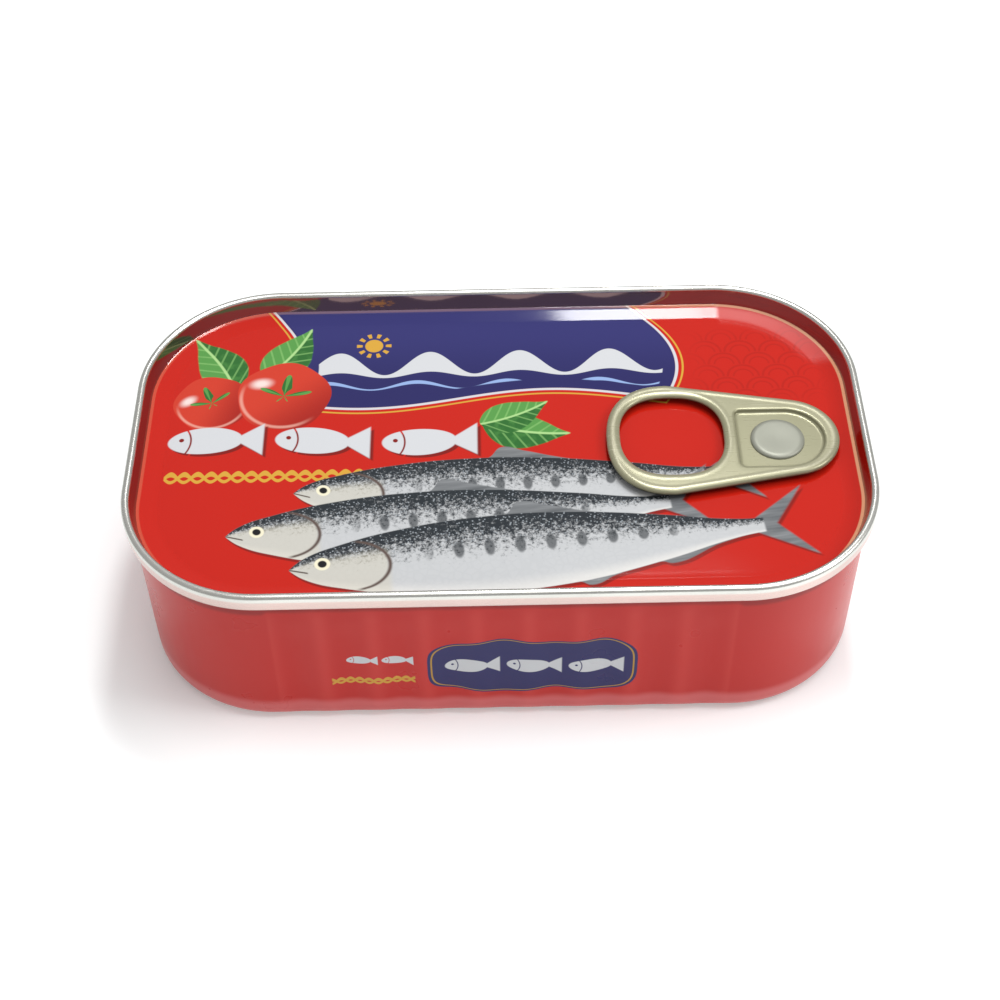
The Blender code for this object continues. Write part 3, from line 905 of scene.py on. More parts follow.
def ring_metal(settings):
    """Champagne gold of the ring pull, with a faint rolled grain along X, a lighter top that is partly wear
    and partly a painted highlight, and painted shade on its low edges outside the pocket.
    """
    material, pad, shader = start_material("Ring Metal")
    point = millimetres(pad)
    grain, smudge, scratch = wear_of(pad, point, 4.0, 0.9)
    x, y, z = pad.parts(point)
    rolled = pad.noise(pad.vector(x * 0.35, y * 5.0, z * 5.0), 1.0, 3.0)
    base = settings.metals.ring
    tint = pad.mix(smudge, base, [base[0] * 0.88, base[1] * 0.90, base[2] * 0.84])
    # The top is lightened: partly wear, partly a painted highlight.
    worn_and_highlit_top = z.above(TAB_HIGH.z / MM - 0.03, 0.03) * grain
    tint = pad.mix(worn_and_highlit_top * 0.35, tint, (0.78, 0.74, 0.60))
    # Painted shade: the ring pull's low edges outside the pocket turn near black, standing for the shadow
    # beneath them.
    margin = 0.65
    half_width = POCKET_HALF_WIDTH / MM + margin
    back = POCKET_BACK / MM - margin
    nose = POCKET_ARC_X / MM + half_width
    in_pocket = abs(y - RIVET_Y / MM).below(half_width, 0.2) * x.within(back, nose, 0.2)
    under = z.below(TAB_LOW.z / MM + 0.58, 0.16) * (1.0 - in_pocket)
    tint = pad.mix(under * 0.9, tint, (0.030, 0.030, 0.020))
    pad.give(shader.inputs["Base Color"], pad.mix(scratch * 0.3, tint, (0.80, 0.76, 0.62)))
    roughness = rolled * 0.04 + (settings.metals.ring_roughness - 0.02) + scratch * 0.1
    pad.give(shader.inputs["Roughness"], roughness)
    shader.inputs["Metallic"].default_value = SATIN_METAL
    shader.inputs["Specular IOR Level"].default_value = 0.25
    bump(pad, shader, rolled * 0.12 + grain * 0.4, 0.000004)
    return material


def rivet_metal(settings):
    """Greyer metal of the rivet's head, turned smooth by the die."""
    material, pad, shader = start_material("Rivet Metal")
    point = millimetres(pad)
    grain, smudge, scratch = wear_of(pad, point, 5.0, 1.4)
    base = settings.metals.rivet
    tint = pad.mix(smudge, base, [channel * 0.85 for channel in base])
    pad.give(shader.inputs["Base Color"], tint)
    pad.give(shader.inputs["Roughness"], smudge * 0.04 + 0.40 + scratch * 0.1)
    shader.inputs["Metallic"].default_value = SATIN_METAL
    shader.inputs["Specular IOR Level"].default_value = 0.25
    bump(pad, shader, grain * 0.5, 0.000003)
    return material


def kept_material(builder, settings):
    """The material a builder makes, made once."""
    name = builder.__name__.replace("_", " ").title()
    return bpy.data.materials.get(name) or builder(settings)


# Meshes swept round the tin

def start_sweep(name, kinds):
    """A Geometry Nodes tree for a guide line: its pad, and its inputs of the given kinds."""
    tree = bpy.data.node_groups.new(name, "GeometryNodeTree")
    for label, kind in {"Geometry": "Geometry", **kinds, "Material": "Material"}.items():
        tree.interface.new_socket(name=label, in_out="INPUT", socket_type="NodeSocket" + kind)
    tree.interface.new_socket(name="Geometry", in_out="OUTPUT", socket_type="NodeSocketGeometry")
    pad = Pad(tree)
    return pad, pad.add("NodeGroupInput").outputs


def even_line(pad, line, spacing):
    """A line with even points and upright normals."""
    even = pad.add("GeometryNodeResampleCurve", {"Curve": line, "Length": spacing}, mode="LENGTH")
    upright = pad.add("GeometryNodeSetCurveNormal", {"Curve": even.outputs["Curve"]}, mode="Z_UP")
    return upright.outputs["Curve"]


def finish_sweep(pad, given, mesh):
    """Give out a swept mesh as real faces of the given material."""
    real = pad.add("GeometryNodeRealizeInstances", {"Geometry": mesh})
    values = {"Geometry": real.outputs["Geometry"], "Material": given["Material"]}
    finished = pad.add("GeometryNodeSetMaterial", values)
    pad.give(pad.add("NodeGroupOutput").inputs["Geometry"], finished.outputs["Geometry"])
    return pad.tree


def sweep_tree(name):
    """Geometry Nodes: an object's own profile swept round the tin's rounded oblong, with flutes."""
    numbers = ("Length", "Width", "Corner Radius", "Point Spacing", "Flute Pitch", "Flute Depth",
               "Flute Top", "Unevenness")
    pad, given = start_sweep(name, {**dict.fromkeys(numbers, "Float"), "Flute Count": "Int"})
    oblong = pad.add(
        "GeometryNodeCurvePrimitiveQuadrilateral",
        {"Width": given["Length"], "Height": given["Width"]},
    )
    rounded = pad.add(
        "GeometryNodeFilletCurve",
        {"Curve": oblong.outputs["Curve"], "Radius": given["Corner Radius"], "Count": CORNER_POINTS},
        mode="POLY",
    )
    line = even_line(pad, rounded.outputs["Curve"], given["Point Spacing"])
    swept = pad.add("GeometryNodeCurveToMesh", {"Curve": line, "Profile Curve": given["Geometry"]})
    moved = pad.add(
        "GeometryNodeSetPosition",
        {"Geometry": swept.outputs["Mesh"], "Offset": flute_offset(pad, given)},
    )
    smooth = pad.add("GeometryNodeSetShadeSmooth", {"Geometry": moved.outputs["Geometry"]})
    return finish_sweep(pad, given, smooth.outputs["Geometry"])


def flute_offset(pad, given):
    """How the long walls are drawn in by the flutes, and all walls stray a little from true."""
    position = pad.add("GeometryNodeInputPosition").outputs["Position"]
    x, y, z = pad.parts(position)
    pitch = Amount(pad, given["Flute Pitch"])
    reach = Amount(pad, given["Flute Count"]) * pitch * 0.5
    inside = pad.figure("LESS_THAN", abs(x), reach)
    dip = 0.5 - ((x + reach) / pitch * (2 * math.pi)).cosine() * 0.5
    up_wall = pad.curve(z / Amount(pad, given["Flute Top"]), (
        (0.0, 0.0), (0.04, 0.25), (0.12, 0.9), (0.20, 1.0), (0.72, 1.0), (0.86, 0.62), (0.95, 0.9),
        (1.0, 1.0)))
    draw_in = dip * inside * up_wall * Amount(pad, given["Flute Depth"])
    stray = (pad.noise(position, 45.0, 1.0) - 0.5) * up_wall * Amount(pad, given["Unevenness"]) * 2.0
    facing = pad.figure("SIGN", y)
    return pad.vector(0.0, (stray - draw_in) * facing, 0.0)


def arc(centre_inset, centre_z, radius, start, end, steps):
    """Inset and height pairs along an arc; 0 degrees points outwards and 90 up."""
    pairs = []
    for step in range(steps + 1):
        angle = math.radians(start + (end - start) * step / steps)
        pairs.append((centre_inset - radius * math.cos(angle), centre_z + radius * math.sin(angle)))
    return pairs


def flowing(points, steps):
    """A smooth line through inset and height pairs, without its first point."""
    line = []
    ends = [points[0], *points, points[-1]]
    for before, start, end, after in zip(ends, ends[1:], ends[2:], ends[3:]):
        for step in range(1, steps + 1):
            share = step / steps
            pair = []
            for axis in (0, 1):
                pull_in = (end[axis] - before[axis]) / 2
                pull_out = (after[axis] - start[axis]) / 2
                square, cube = share ** 2, share ** 3
                pair.append(
                    (2 * cube - 3 * square + 1) * start[axis] + (cube - 2 * square + share) * pull_in
                    + (3 * square - 2 * cube) * end[axis] + (cube - square) * pull_out
                )
            line.append(tuple(pair))
    return line


def swept_piece(name, profile, closed, sizes, material, fluted=False):
    """A plain mesh object: the profile of inset and height pairs swept round the tin."""
    tree = kept_group("Profile Swept Round the Tin", sweep_tree)
    return along_nodes(name, [(-inset, -z, 0.0) for inset, z in profile], closed, tree, {
        "Length": sizes.length,
        "Width": sizes.width,
        "Corner Radius": sizes.corner_radius,
        "Point Spacing": sizes.point_spacing,
        "Flute Pitch": sizes.flute_pitch,
        "Flute Depth": sizes.flute_depth if fluted else 0.0,
        "Flute Top": BODY_TOP,
        "Unevenness": sizes.unevenness if fluted else 0.0,
        "Flute Count": sizes.flute_count,
        "Material": material,
    })


def linked(name, data=None):
    """A new object in the scene, with its data."""
    thing = bpy.data.objects.new(name, data)
    bpy.context.scene.collection.objects.link(thing)
    return thing


def along_nodes(name, points, closed, tree, values):
    """A plain mesh object: what a node tree makes of a guide line, with values in its named inputs."""
    curve = bpy.data.curves.new(name, "CURVE")
    curve.dimensions = "3D"
    spline = curve.splines.new("POLY")
    spline.points.add(len(points) - 1)
    spline.use_cyclic_u = closed
    for knot, place in zip(spline.points, points):
        knot.co = (*place, 1.0)
    guide = linked(name + "_guide", curve)
    modifier = guide.modifiers.new("Swept", "NODES")
    modifier.node_group = tree
    for item in tree.interface.items_tree:
        if item.item_type == "SOCKET" and item.in_out == "INPUT" and item.name in values:
            modifier[item.identifier] = values[item.name]
    depsgraph = bpy.context.evaluated_depsgraph_get()
    mesh = bpy.data.meshes.new_from_object(guide.evaluated_get(depsgraph), depsgraph=depsgraph)
    bpy.data.objects.remove(guide, do_unlink=True)
    mesh.name = name
    return linked(name, mesh)


def close_mesh(thing):
    """Weld doubles, cap every open loop and turn all faces outwards."""
    shape = bmesh.new()
    shape.from_mesh(thing.data)
    bmesh.ops.remove_doubles(shape, verts=shape.verts, dist=1e-6)
    open_edges = [edge for edge in shape.edges if edge.is_boundary]
    if open_edges:
        caps = bmesh.ops.holes_fill(shape, edges=open_edges, sides=0)["faces"]
        bmesh.ops.triangulate(shape, faces=caps)
    bmesh.ops.recalc_face_normals(shape, faces=shape.faces)
    shape.to_mesh(thing.data)
    shape.free()
    thing.data.shade_smooth()
    thing.data.set_sharp_from_angle(angle=SHARP_ANGLE)


def dress(thing, node):
    """Let a finished piece stand for a solid and ride on the tin."""
    if not thing.data.polygons:
        raise RuntimeError(thing.name + " came out empty")
    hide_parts(node)
    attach(thing, "root")


def wall_inset(z, sizes):
    """The wall leans in a little from the seam to the base."""
    seam_bottom = TIN_HEIGHT - sizes.seam_height
    share = (z - BASE_RADIUS) / (seam_bottom - BASE_RADIUS)
    return WALL_INSET_BASE + (WALL_INSET_TOP - WALL_INSET_BASE) * share


def body_profile(sizes):
    """From the middle of the base out over the foot, up the wall and in over the fill."""
    foot_inset = WALL_INSET_BASE + BASE_RADIUS
    inner_foot = foot_inset + FOOT_WIDTH
    step_end = inner_foot + BASE_STEP_WIDTH
    bead = step_end + BASE_BEAD_WIDTH
    wall_top = TIN_HEIGHT - sizes.seam_height + SEAM_HEM / 2
    profile = [
        (bead + BASE_BEAD_WIDTH, BASE_STEP_HEIGHT),
        (bead + BASE_BEAD_WIDTH / 2, BASE_STEP_HEIGHT),
        (bead, BASE_STEP_HEIGHT - BASE_BEAD_HEIGHT),
        (bead - BASE_BEAD_WIDTH / 2, BASE_STEP_HEIGHT),
        (step_end + BASE_STEP_WIDTH / 4, BASE_STEP_HEIGHT),
        (inner_foot, 0.0),
    ]
    profile = [profile[0], *flowing(profile, 4)]
    profile += arc(foot_inset, BASE_RADIUS, BASE_RADIUS, -90, 0, 12)
    wall_steps = 14
    for step in range(1, wall_steps + 1):
        z = BASE_RADIUS + (wall_top - BASE_RADIUS) * step / wall_steps
        profile.append((wall_inset(z, sizes), z))
    rim_inner = WALL_INSET_TOP + RIM_THICKNESS
    profile += [(rim_inner, wall_top), (rim_inner, PANEL_Z - SHEET)]
    return profile


def seam_profile(sizes):
    """A closed loop round the folded seam: hem, faintly bulged face, rounded crest and inner side."""
    bottom = TIN_HEIGHT - sizes.seam_height
    inner_half = sizes.seam_thickness - SEAM_CREST_INSET
    crest_z = TIN_HEIGHT - SEAM_CROWN
    loop = arc(SEAM_HEM + SEAM_BULGE, bottom + SEAM_HEM, SEAM_HEM, -90, 0, 6)
    loop += flowing([
        (SEAM_BULGE, bottom + SEAM_HEM),
        (0.0, bottom + 0.50 * sizes.seam_height),
        (0.0, crest_z),
    ], 5)
    crown_steps = 20
    for step in range(1, crown_steps + 1):
        angle = math.pi * step / crown_steps
        half = SEAM_CREST_INSET if step <= crown_steps / 2 else inner_half
        loop.append((SEAM_CREST_INSET - half * math.cos(angle), crest_z + SEAM_CROWN * math.sin(angle)))
    loop.append((sizes.seam_thickness, bottom))
    return loop


def chuck_profile(sizes):
    """A closed loop round the thin sheet of the chuck wall, from the crest to its foot."""
    top = (sizes.seam_thickness, TIN_HEIGHT - SEAM_CROWN)
    foot = (CHUCK_FOOT_INSET, TIN_HEIGHT - CHUCK_FOOT_DEPTH)
    face = [top]
    wall_steps = 6
    for step in range(1, wall_steps + 1):
        share = step / wall_steps
        face.append((top[0] + (foot[0] - top[0]) * share, top[1] + (foot[1] - top[1]) * share))
    outer_foot = CHUCK_FOOT_INSET - CHUCK_SHEET
    back = [
        (CHUCK_FOOT_INSET - 0.3 * CHUCK_SHEET, foot[1] - CHUCK_SHEET / 2),
        (outer_foot, foot[1] - CHUCK_SHEET),
        (sizes.seam_thickness - CHUCK_SHEET, TIN_HEIGHT - SEAM_CROWN),
    ]
    return face + back


def panel_profile():
    """From the middle of the panel out and up its slope to the chuck wall's foot, and back."""
    face = [
        (PANEL_INSET + MM, PANEL_Z),
        (PANEL_INSET, PANEL_Z),
        (DISH_INSET, TIN_HEIGHT - DISH_DEPTH),
        (SLOPE_INSET, TIN_HEIGHT - SLOPE_DEPTH),
        (CHUCK_FOOT_INSET, TIN_HEIGHT - CHUCK_FOOT_DEPTH),
    ]
    face = [face[0], *flowing(face, 8)]
    under = [
        (CHUCK_FOOT_INSET - CHUCK_SHEET / 2, TIN_HEIGHT - CHUCK_FOOT_DEPTH - CHUCK_SHEET / 2),
        (CHUCK_FOOT_INSET - CHUCK_SHEET / 2, TIN_HEIGHT - SLOPE_DEPTH - SHEET),
        (SLOPE_INSET, PANEL_Z - SHEET),
        (PANEL_INSET, PANEL_Z - SHEET),
    ]
    return face + under


# Ring pull and rivet

def superellipse(centre, half_x, half_y, power, start, end, steps):
    """Points along a superellipse about a centre, from one angle in degrees to another."""
    points = []
    for step in range(steps + 1):
        angle = math.radians(start + (end - start) * step / steps)
        cosine, sine = math.cos(angle), math.sin(angle)
        along = math.copysign(abs(cosine) ** (2 / power), cosine)
        across = math.copysign(abs(sine) ** (2 / power), sine)
        points.append((centre[0] + half_x * along, centre[1] + half_y * across))
    return points


def arc_points(centre_x, centre_y, radius, start, end, steps):
    """Points along an arc in plan, angles in radians."""
    points = []
    for step in range(steps + 1):
        angle = start + (end - start) * step / steps
        points.append((centre_x + radius * math.cos(angle), centre_y + radius * math.sin(angle)))
    return points


def tab_outline():
    """Outer outline of the ring pull: a blunt ring end, two straight flanks and a round nose."""
    nose_x = TAB_HIGH.x - NOSE_RADIUS
    nose = arc_points(nose_x, TAB_Y, NOSE_RADIUS, -NOSE_HALF_ANGLE, NOSE_HALF_ANGLE, 40)
    ring_half = TAB_RING_X - TAB_LOW.x
    half_width = TAB_HIGH.y - TAB_Y
    ring = superellipse((TAB_RING_X, TAB_Y), ring_half, half_width, TAB_RING_POWER, 90, 270, 60)
    return nose + ring


def hole_outline():
    """The finger hole of the ring pull."""
    ring = superellipse((HOLE_X, HOLE_Y), HOLE_HALF_LENGTH, HOLE_HALF_WIDTH, HOLE_POWER, 0, 360, 120)
    return ring[:-1]


def pocket_outline():
    """The D-shaped pocket round the rivet, straight at the ring's side and round at the nose."""
    quarter = math.pi / 2
    nose = arc_points(POCKET_ARC_X, RIVET_Y, POCKET_HALF_WIDTH, -quarter, quarter, 40)
    corner_x = POCKET_BACK + POCKET_CORNER
    corner_y = POCKET_HALF_WIDTH - POCKET_CORNER
    upper = arc_points(corner_x, RIVET_Y + corner_y, POCKET_CORNER, quarter, 2 * quarter, 8)
    lower = arc_points(corner_x, RIVET_Y - corner_y, POCKET_CORNER, 2 * quarter, 3 * quarter, 8)
    return nose + upper + lower


def offset_outline(outline, offset):
    """A closed outline that runs anticlockwise, moved outwards by offset."""
    moved = []
    count = len(outline)
    for here in range(count):
        before = outline[here - 1]
        after = outline[(here + 1) % count]
        run_x, run_y = after[0] - before[0], after[1] - before[1]
        span = math.hypot(run_x, run_y)
        x, y = outline[here]
        moved.append((x + offset * run_y / span, y - offset * run_x / span))
    return moved


def bead_tree(name):
    """Geometry Nodes: a round bead, a little flattened, swept along an object's own outline."""
    numbers = ("Radius", "Width Share", "Point Spacing")
    pad, given = start_sweep(name, dict.fromkeys(numbers, "Float"))
    line = even_line(pad, given["Geometry"], given["Point Spacing"])
    circle = pad.add(
        "GeometryNodeCurvePrimitiveCircle", {"Resolution": 24, "Radius": given["Radius"]}, mode="RADIUS"
    )
    oval = pad.add(
        "GeometryNodeTransform",
        {"Geometry": circle.outputs["Curve"], "Scale": pad.vector(given["Width Share"], 1.0, 1.0)},
    )
    swept = pad.add("GeometryNodeCurveToMesh", {"Curve": line, "Profile Curve": oval.outputs["Geometry"]})
    return finish_sweep(pad, given, swept.outputs["Mesh"])


def bead(name, outline, radius, width_share, material):
    """A curled edge along an outline in plan, at half the ring pull's height."""
    middle = (TAB_LOW.z + TAB_HIGH.z) / 2
    tree = kept_group("Bead Along an Outline", bead_tree)
    return along_nodes(name, [(x, y, middle) for x, y in outline], True, tree, {
        "Radius": radius,
        "Width Share": width_share,
        "Point Spacing": BEAD_SPACING,
        "Material": material,
    })


def ringed_solid(name, rings):
    """A closed solid through rings of points, each of the same count, capped at both ends."""
    shape = bmesh.new()
    rings = [[shape.verts.new(place) for place in ring] for ring in rings]
    for low, high in zip(rings, rings[1:]):
        for here in range(len(low)):
            there = (here + 1) % len(low)
            shape.faces.new((low[here], low[there], high[there], high[here]))
    shape.faces.new(rings[0])
    shape.faces.new(rings[-1])
    bmesh.ops.recalc_face_normals(shape, faces=shape.faces)
    mesh = bpy.data.meshes.new(name)
    shape.to_mesh(mesh)
    shape.free()
    return linked(name, mesh)


def outline_solid(name, outline, low, high, flare=0.0):
    """A closed solid over an outline between two heights, flared outwards at its top."""
    foot = [(x, y, low) for x, y in offset_outline(outline, 0.0)]
    top = [(x, y, high) for x, y in offset_outline(outline, flare)]
    return ringed_solid(name, (foot, top))


def circle_outline(radius, steps=64):
    """A circle about the rivet's axis, in plan."""
    return arc_points(RIVET_X, RIVET_Y, radius, 0.0, 2 * math.pi, steps)[:-1]


def cut(thing, cutter):
    """Cut a solid with another, which is then removed."""
    modifier = thing.modifiers.new("Cut", "BOOLEAN")
    modifier.operation = "DIFFERENCE"
    modifier.object = cutter
    modifier.solver = "EXACT"
    bake_modifiers(thing)
    bpy.data.objects.remove(cutter, do_unlink=True)


def bake_modifiers(thing):
    """Replace an object's mesh by its evaluated one and drop its modifiers."""
    depsgraph = bpy.context.evaluated_depsgraph_get()
    mesh = bpy.data.meshes.new_from_object(thing.evaluated_get(depsgraph), depsgraph=depsgraph)
    thing.modifiers.clear()
    thing.data = mesh


def joined(things):
    """Several mesh objects as the first one, with all their faces in it."""
    shape = bmesh.new()
    for thing in things:
        shape.from_mesh(thing.data)
    shape.to_mesh(things[0].data)
    shape.free()
    for thing in things[1:]:
        bpy.data.objects.remove(thing, do_unlink=True)
    return things[0]


def ring_pull_parts(tab, material):
    """The rims, plate and web of the ring pull, still overlapping."""
    low, high = TAB_LOW.z, TAB_HIGH.z
    outer_line = offset_outline(tab_outline(), -tab.rim_radius * tab.rim_spread)
    hole_line = offset_outline(hole_outline(), tab.hole_rim_radius * tab.hole_rim_spread)
    rim = bead("ring_rim", outer_line, tab.rim_radius, tab.rim_spread, material)
    hole_rim = bead("hole_rim", hole_line, tab.hole_rim_radius, tab.hole_rim_spread, material)
    pocket_rim_line = offset_outline(pocket_outline(), POCKET_RIM_INSET)
    pocket_rim = bead("pocket_rim", pocket_rim_line, POCKET_RIM_RADIUS, 1.0, material)
    plate = outline_solid("plate", outer_line, low + PLATE_LIFT, high - tab.plate_drop)
    cut(plate, outline_solid("hole_cutter", hole_line, low - MM, high + MM))
    cut(plate, outline_solid("pocket_cutter", pocket_outline(), WEB_TOP, high + MM, POCKET_FLARE))
    web = outline_solid("web", offset_outline(pocket_outline(), WEB_LAP), low + WEB_LIFT, WEB_TOP)
    bore = circle_outline(RIVET_STEM_RADIUS + STEM_GAP)
    for sheet in (plate, web):
        cut(sheet, outline_solid("bore_cutter", bore, low - MM, high + MM))
    return [rim, hole_rim, pocket_rim, plate, web]


def rivet_profile():
    """From under the panel up the stem, out under the head, round its edge and over its dish."""
    head_low = WEB_TOP + HEAD_GAP
    profile = [(RIVET_STEM_RADIUS, PANEL_Z - SHEET / 2), (RIVET_STEM_RADIUS, head_low)]
    edge_steps = 12
    for step in range(edge_steps + 1):
        angle = math.pi / 2 * step / edge_steps
        reach = RIVET_HEAD_RADIUS - RIVET_EDGE_WIDTH * (1 - math.cos(angle))
        profile.append((reach, head_low + RIVET_HEAD_RISE * math.sin(angle)))
    rim_radius = RIVET_HEAD_RADIUS - RIVET_EDGE_WIDTH
    dish_steps = 12
    for step in range(1, dish_steps + 1):
        share = step / (dish_steps + 0.5)
        dish = RIVET_DISH * math.sin(math.pi / 2 * share) ** 2
        profile.append((rim_radius * (1 - share), head_low + RIVET_HEAD_RISE - dish))
    return profile


class TinPiece:
    """What every operator of this tin shares."""

    bl_options = {"REGISTER", "UNDO"}

    def execute(self, context):
        """Build the piece from the scene's settings."""
        self.build(context.scene.sardine_tin)
        return {"FINISHED"}


class TIN_OT_body(TinPiece, bpy.types.Operator):
    """Build the drawn body with its flutes, foot and print"""

    bl_idname = "tin.body"
    bl_label = "Tin Body"

    def build(self, settings):
        material = kept_material(wall_lacquer, settings)
        profile = body_profile(settings.sizes)
        body = swept_piece("tin_body", profile, False, settings.sizes, material, fluted=True)
        close_mesh(body)
        dress(body, "can_body")


class TIN_OT_seam(TinPiece, bpy.types.Operator):
    """Build the folded seam and the bright chuck wall inside it"""

    bl_idname = "tin.seam"
    bl_label = "Seam and Chuck Wall"

    def build(self, settings):
        sizes = settings.sizes
        pale = kept_material(seam_metal, settings)
        dark = kept_material(chuck_metal, settings)
        seam = swept_piece("seam_ring", seam_profile(sizes), True, sizes, pale)
        chuck = swept_piece("chuck_wall", chuck_profile(sizes), True, sizes, dark)
        for piece in (seam, chuck):
            close_mesh(piece)
            dress(piece, "lid")


class TIN_OT_lid_panel(TinPiece, bpy.types.Operator):
    """Build the printed panel of the lid, out to the foot of the chuck wall"""

    bl_idname = "tin.lid_panel"
    bl_label = "Lid Panel"

    def build(self, settings):
        material = kept_material(lid_lacquer, settings)
        panel = swept_piece("lid_panel", panel_profile(), False, settings.sizes, material)
        close_mesh(panel)
        dress(panel, "lid")


class TIN_OT_rivet(TinPiece, bpy.types.Operator):
    """Build the rivet that holds the ring pull"""

    bl_idname = "tin.rivet"
    bl_label = "Rivet"

    def build(self, settings):
        rings = [[(x, y, z) for x, y in circle_outline(radius, 96)] for radius, z in rivet_profile()]
        rivet = ringed_solid("rivet_head", rings)
        rivet.data.materials.append(kept_material(rivet_metal, settings))
        rivet.data.shade_smooth()
        rivet.data.set_sharp_from_angle(angle=SHARP_ANGLE)
        dress(rivet, "lid")


class TIN_OT_ring_pull(TinPiece, bpy.types.Operator):
    """Build the ring pull: curled rims, plate and sunken web fused into one sheet"""

    bl_idname = "tin.ring_pull"
    bl_label = "Ring Pull"

    def build(self, settings):
        material = kept_material(ring_metal, settings)
        ring = joined(ring_pull_parts(settings.tab, material))
        ring.name = "pull_ring"
        fused = ring.modifiers.new("Fuse", "REMESH")
        fused.mode = "VOXEL"
        fused.voxel_size = settings.tab.voxel
        relaxed = ring.modifiers.new("Relax", "SMOOTH")
        relaxed.factor = 0.5
        relaxed.iterations = 9
        bake_modifiers(ring)
        ring.data.materials.clear()
        ring.data.materials.append(material)
        ring.data.shade_smooth()
        dress(ring, "ring_pull")


class TIN_OT_stage(TinPiece, bpy.types.Operator):
    """Set the floor, the soft lights and the camera"""

    bl_idname = "tin.stage"
    bl_label = "Stage"

    def build(self, settings):
        stage = settings.stage
        add_floor(stage)
        add_sky(stage.sky)
        for softbox in SOFTBOXES:
            add_softbox(*softbox)
        add_camera(stage)
        bpy.context.scene.view_settings.view_transform = "Standard"


FLOOR_HALF = 1.5
FLOOR_Z = -0.1 * MM

# Where the floor brightens in front of the tin, in millimetres, and by how much
FRONT_EDGE = (-20.0, -34.0)
LEFT_EDGE = (-62.0, -34.0)
FRONT_GLOW = 0.22

# Softboxes: name, azimuth and elevation in degrees seen from the tin, distance, width and height in
# metres, turn about its own axis in degrees, and radiance. Azimuth 0 is the camera's side, 90 the
# right and 180 behind.
SOFTBOXES = (
    ("overhead", 110, 80, 0.70, 0.46, 0.40, 0, 3.0),
    ("right_key", 84, 46, 0.80, 0.28, 0.26, 0, 7.4),
    ("far_window", 165.8, 65, 0.60, 0.070, 0.20, 10, 34.0),
)


def direction(turn, rise):
    """Unit vector from the tin towards an azimuth and elevation in radians."""
    return Vector((math.sin(turn) * math.cos(rise), -math.cos(turn) * math.cos(rise), math.sin(rise)))


def add_softbox(name, azimuth, elevation, distance, width, height, turn, radiance):
    """A rectangular light that faces the tin."""
    light = bpy.data.lights.new(name, "AREA")
    light.shape = "RECTANGLE"
    light.size = width
    light.size_y = height
    light.energy = radiance * math.pi * width * height
    thing = linked(name, light)
    away = direction(math.radians(azimuth), math.radians(elevation))
    thing.location = away * distance
    thing.rotation_mode = "QUATERNION"
    own_turn = Quaternion((0.0, 0.0, 1.0), math.radians(turn))
    thing.rotation_quaternion = (-away).to_track_quat("-Z", "Y") @ own_turn


def add_sky(brightness):
    """Plain grey surroundings."""
    world = bpy.data.worlds.new("Studio")
    world.use_nodes = True
    background = world.node_tree.nodes["Background"]
    background.inputs["Color"].default_value = (1.0, 1.0, 1.0, 1.0)
    background.inputs["Strength"].default_value = brightness
    bpy.context.scene.world = world


def add_floor(stage):
    """A wide pale floor just under the tin, with the finest of paper grain."""
    mesh = bpy.data.meshes.new("studio_floor")
    turns = ((-1, -1), (1, -1), (1, 1), (-1, 1))
    corners = [(x * FLOOR_HALF, y * FLOOR_HALF, FLOOR_Z) for x, y in turns]
    mesh.from_pydata(corners, [], [(0, 1, 2, 3)])
    floor = linked("studio_floor", mesh)
    material, pad, shader = start_material("Studio Floor")
    point = millimetres(pad)
    grain = pad.noise(point, 0.6, 2.0)
    pad.give(shader.inputs["Base Color"], pad.mix(grain * 0.02, stage.floor, (0.8, 0.8, 0.8)))
    shader.inputs["Roughness"].default_value = 0.9
    shader.inputs["Specular IOR Level"].default_value = 0.1
    shader.inputs["Emission Color"].default_value = (1.0, 1.0, 1.0, 1.0)
    x, y, _ = pad.parts(point)
    in_front = pad.step(y, *FRONT_EDGE) * pad.step(x, *LEFT_EDGE)
    pad.give(shader.inputs["Emission Strength"], in_front * FRONT_GLOW + stage.floor_glow)
    mesh.materials.append(material)


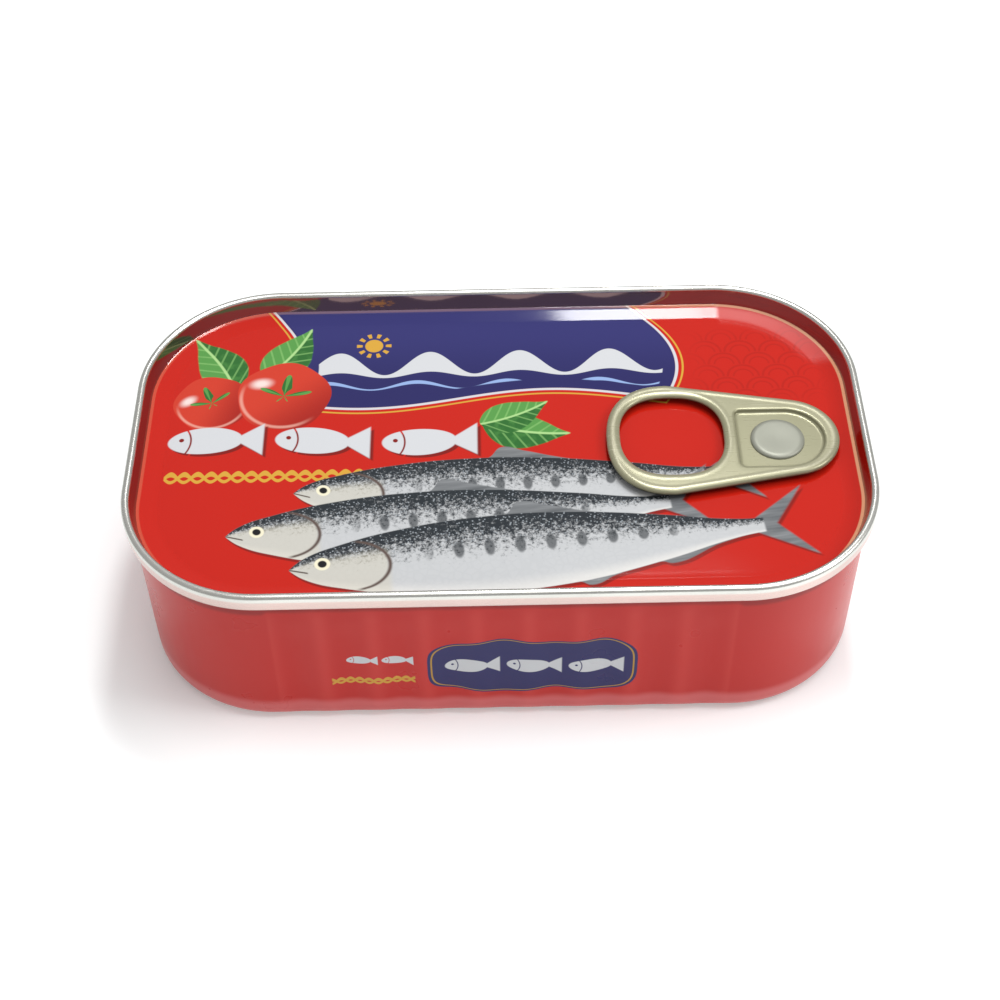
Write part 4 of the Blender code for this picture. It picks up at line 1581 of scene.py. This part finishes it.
def add_camera(stage):
    """The camera at the photograph's place and angle."""
    turn, roll = stage.camera_azimuth, stage.camera_roll
    back = direction(turn, stage.camera_elevation)
    right = Vector((math.cos(turn), math.sin(turn), 0.0))
    up = back.cross(right)
    rolled_right = right * math.cos(roll) + up * math.sin(roll)
    rolled_up = up * math.cos(roll) - right * math.sin(roll)
    camera = bpy.data.cameras.new("studio_camera")
    camera.lens = stage.camera_lens
    camera.clip_start = 0.01
    thing = linked("studio_camera", camera)
    axes = Matrix((rolled_right, rolled_up, back)).transposed()
    thing.matrix_world = Matrix.Translation(stage.camera_place) @ axes.to_4x4()
    bpy.context.scene.camera = thing


PIECE_OPERATORS = (
    TIN_OT_body,
    TIN_OT_seam,
    TIN_OT_lid_panel,
    TIN_OT_rivet,
    TIN_OT_ring_pull,
    TIN_OT_stage,
)


class TIN_PT_sidebar(bpy.types.Panel):
    """Lists the tin's operators and settings"""

    bl_label = "Sardine Tin"
    bl_space_type = "VIEW_3D"
    bl_region_type = "UI"
    bl_category = "Sardine Tin"

    def draw(self, context):
        """Draw one button for each operator, then each group of settings."""
        layout = self.layout
        for operator in PIECE_OPERATORS:
            layout.operator(operator.bl_idname)
        settings = context.scene.sardine_tin
        for group in (settings.sizes, settings.tab, settings.inks, settings.metals, settings.stage):
            box = layout.box()
            for name in group.bl_rna.properties.keys():
                if name not in ("rna_type", "name"):
                    box.prop(group, name)


CLASSES = (
    TinSizes,
    RingPullSizes,
    PrintColours,
    MetalColours,
    StageSizes,
    SardineTin,
    *PIECE_OPERATORS,
    TIN_PT_sidebar,
)


def register():
    """Add the classes and the scene's settings."""
    for item in CLASSES:
        bpy.utils.register_class(item)
    bpy.types.Scene.sardine_tin = bpy.props.PointerProperty(type=SardineTin)


def unregister():
    """Take the classes and the scene's settings away again."""
    del bpy.types.Scene.sardine_tin
    for item in reversed(CLASSES):
        bpy.utils.unregister_class(item)


def main():
    """Register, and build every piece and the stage."""
    register()
    bpy.ops.tin.body()
    bpy.ops.tin.seam()
    bpy.ops.tin.lid_panel()
    bpy.ops.tin.rivet()
    bpy.ops.tin.ring_pull()
    bpy.ops.tin.stage()


if __name__ == "__main__":
    main()
